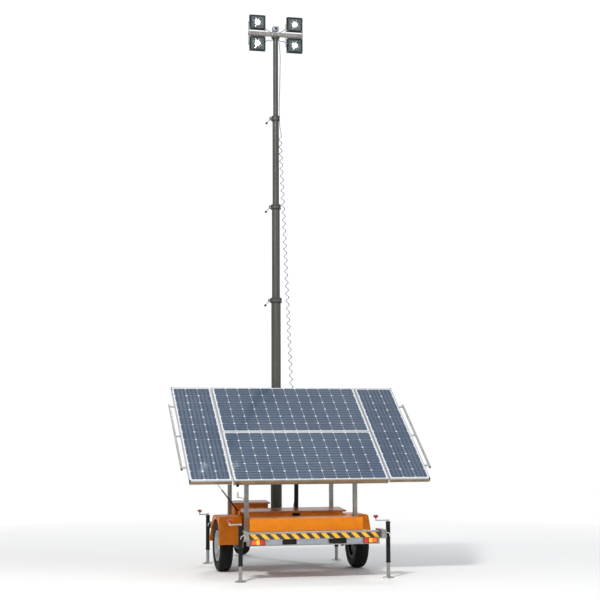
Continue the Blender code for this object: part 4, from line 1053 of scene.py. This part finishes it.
def dress_frame_bolts():
    """Foot bolts of the rear posts and the mast, and the actuator's lead."""
    corner = low("panel_support_frame")
    xs = [side * (0.705 - 0.0285) for side in (-1, 1)]
    spots = [(x, corner.y + 0.034 + dy, corner.z + 0.0076) for x in xs for dy in (-0.0285, 0.0285)]
    bolts("post_foot_bolts", spots, UP, 0.0035)
    y, z = middle("mast_stage_4").y, low("mast_base").z + 0.012
    spots = [(sx * 0.115, y + sy * 0.115, z) for sx in (-1, 1) for sy in (-1, 1)]
    bolts("mast_foot_bolts", spots, UP, 0.008)
    y = low("tilt_actuator_body").y
    points = [(0.060, y + 0.05, 0.78), (0.075, y + 0.03, 0.90), (0.078, y + 0.02, 1.20)]
    cable("actuator_lead", points, 0.004, "black_cable", "actuator_body")


# -------------------- studio
def area_light(name, spot, aim, size, power, color=(1.0, 1.0, 1.0)):
    data = bpy.data.lights.new(name, "AREA")
    data.shape = "DISK"
    data.size = size
    data.energy = power
    data.color = color
    lamp = add_object(name, data)
    lamp.location = spot
    lamp.rotation_euler = (Vector(aim) - Vector(spot)).to_track_quat("-Z", "Y").to_euler()


def floor_finish():
    """Pale matt floor that fades into the white surroundings away from the trailer."""
    material = surface((0.90, 0.90, 0.90), (0.87, 0.87, 0.87), 0.8, grain=(0.3, 0.3, 0.3))
    tree, shader = shader_of(material)
    reach = vector_math(tree, "LENGTH", {0: object_place(tree)}).outputs["Value"]
    fade = remap(tree, reach, 2.5, 10.0, 0.0, 1.0)
    seen = tree.nodes.new("ShaderNodeLightPath").outputs["Is Camera Ray"]
    strength = math_node(tree, "MULTIPLY", fade, seen)
    recolour(shader, tree, lambda color: mix(tree, strength, color, rgba((0.0, 0.0, 0.0))))
    white = (1.0, 1.0, 1.0, 1.0)
    feed(tree, shader, {"Specular IOR Level": 0.0, "Emission Color": white, "Emission Strength": strength})
    return material


def make_studio():
    """Pale floor, white surroundings and soft lights."""
    bm = bmesh.new()
    bmesh.ops.create_grid(bm, x_segments=1, y_segments=1, size=200.0)
    mesh = bpy.data.meshes.new("floor")
    bm.to_mesh(mesh)
    bm.free()
    floor = add_object("floor", mesh)
    floor.location = (0.0, 0.0, -0.0005)
    floor.data.materials.append(floor_finish())
    world = bpy.data.worlds.new("studio")
    bpy.context.scene.world = world
    world.use_nodes = True
    bpy.context.scene.view_settings.view_transform = "Standard"
    tree = world.node_tree
    back = tree.nodes["Background"]
    seen = tree.nodes.new("ShaderNodeLightPath").outputs["Is Camera Ray"]
    feed(tree, back, {0: (0.93, 0.96, 1.0, 1.0), 1: remap(tree, seen, 0.0, 1.0, 0.50, 1.08)})
    area_light("key", (-6.0, -10.0, 10.0), (0, 0, 1.3), 1.6, 1350.0, (1.0, 0.97, 0.92))
    area_light("fill", (9.0, -8.0, 4.0), (0, 0, 1.5), 4.0, 260.0, (0.93, 0.96, 1.0))
    area_light("rim", (3.0, 9.0, 9.0), (0, 0, 3.0), 3.0, 420.0)


def make_camera():
    """Standing well behind the trailer and a little to its left, looking slightly up."""
    data = bpy.data.cameras.new("camera")
    data.lens = 81.4
    data.sensor_width = 36.0
    camera = add_object("camera", data)
    camera.location = (-4.057, -18.093, 1.77)
    camera.rotation_euler = (math.radians(95.57), math.radians(0.2), math.radians(-13.52))
    bpy.context.scene.camera = camera


def main():
    dress_nodes()
    dress_array()
    dress_bumper()
    dress_boxes()
    for side, word in SIDES:
        dress_wheel(side, word)
        dress_fender(side, word)
    dress_mast()
    dress_head()
    dress_jacks()
    dress_hitch()
    dress_frame_bolts()
    make_studio()
    make_camera()


main()
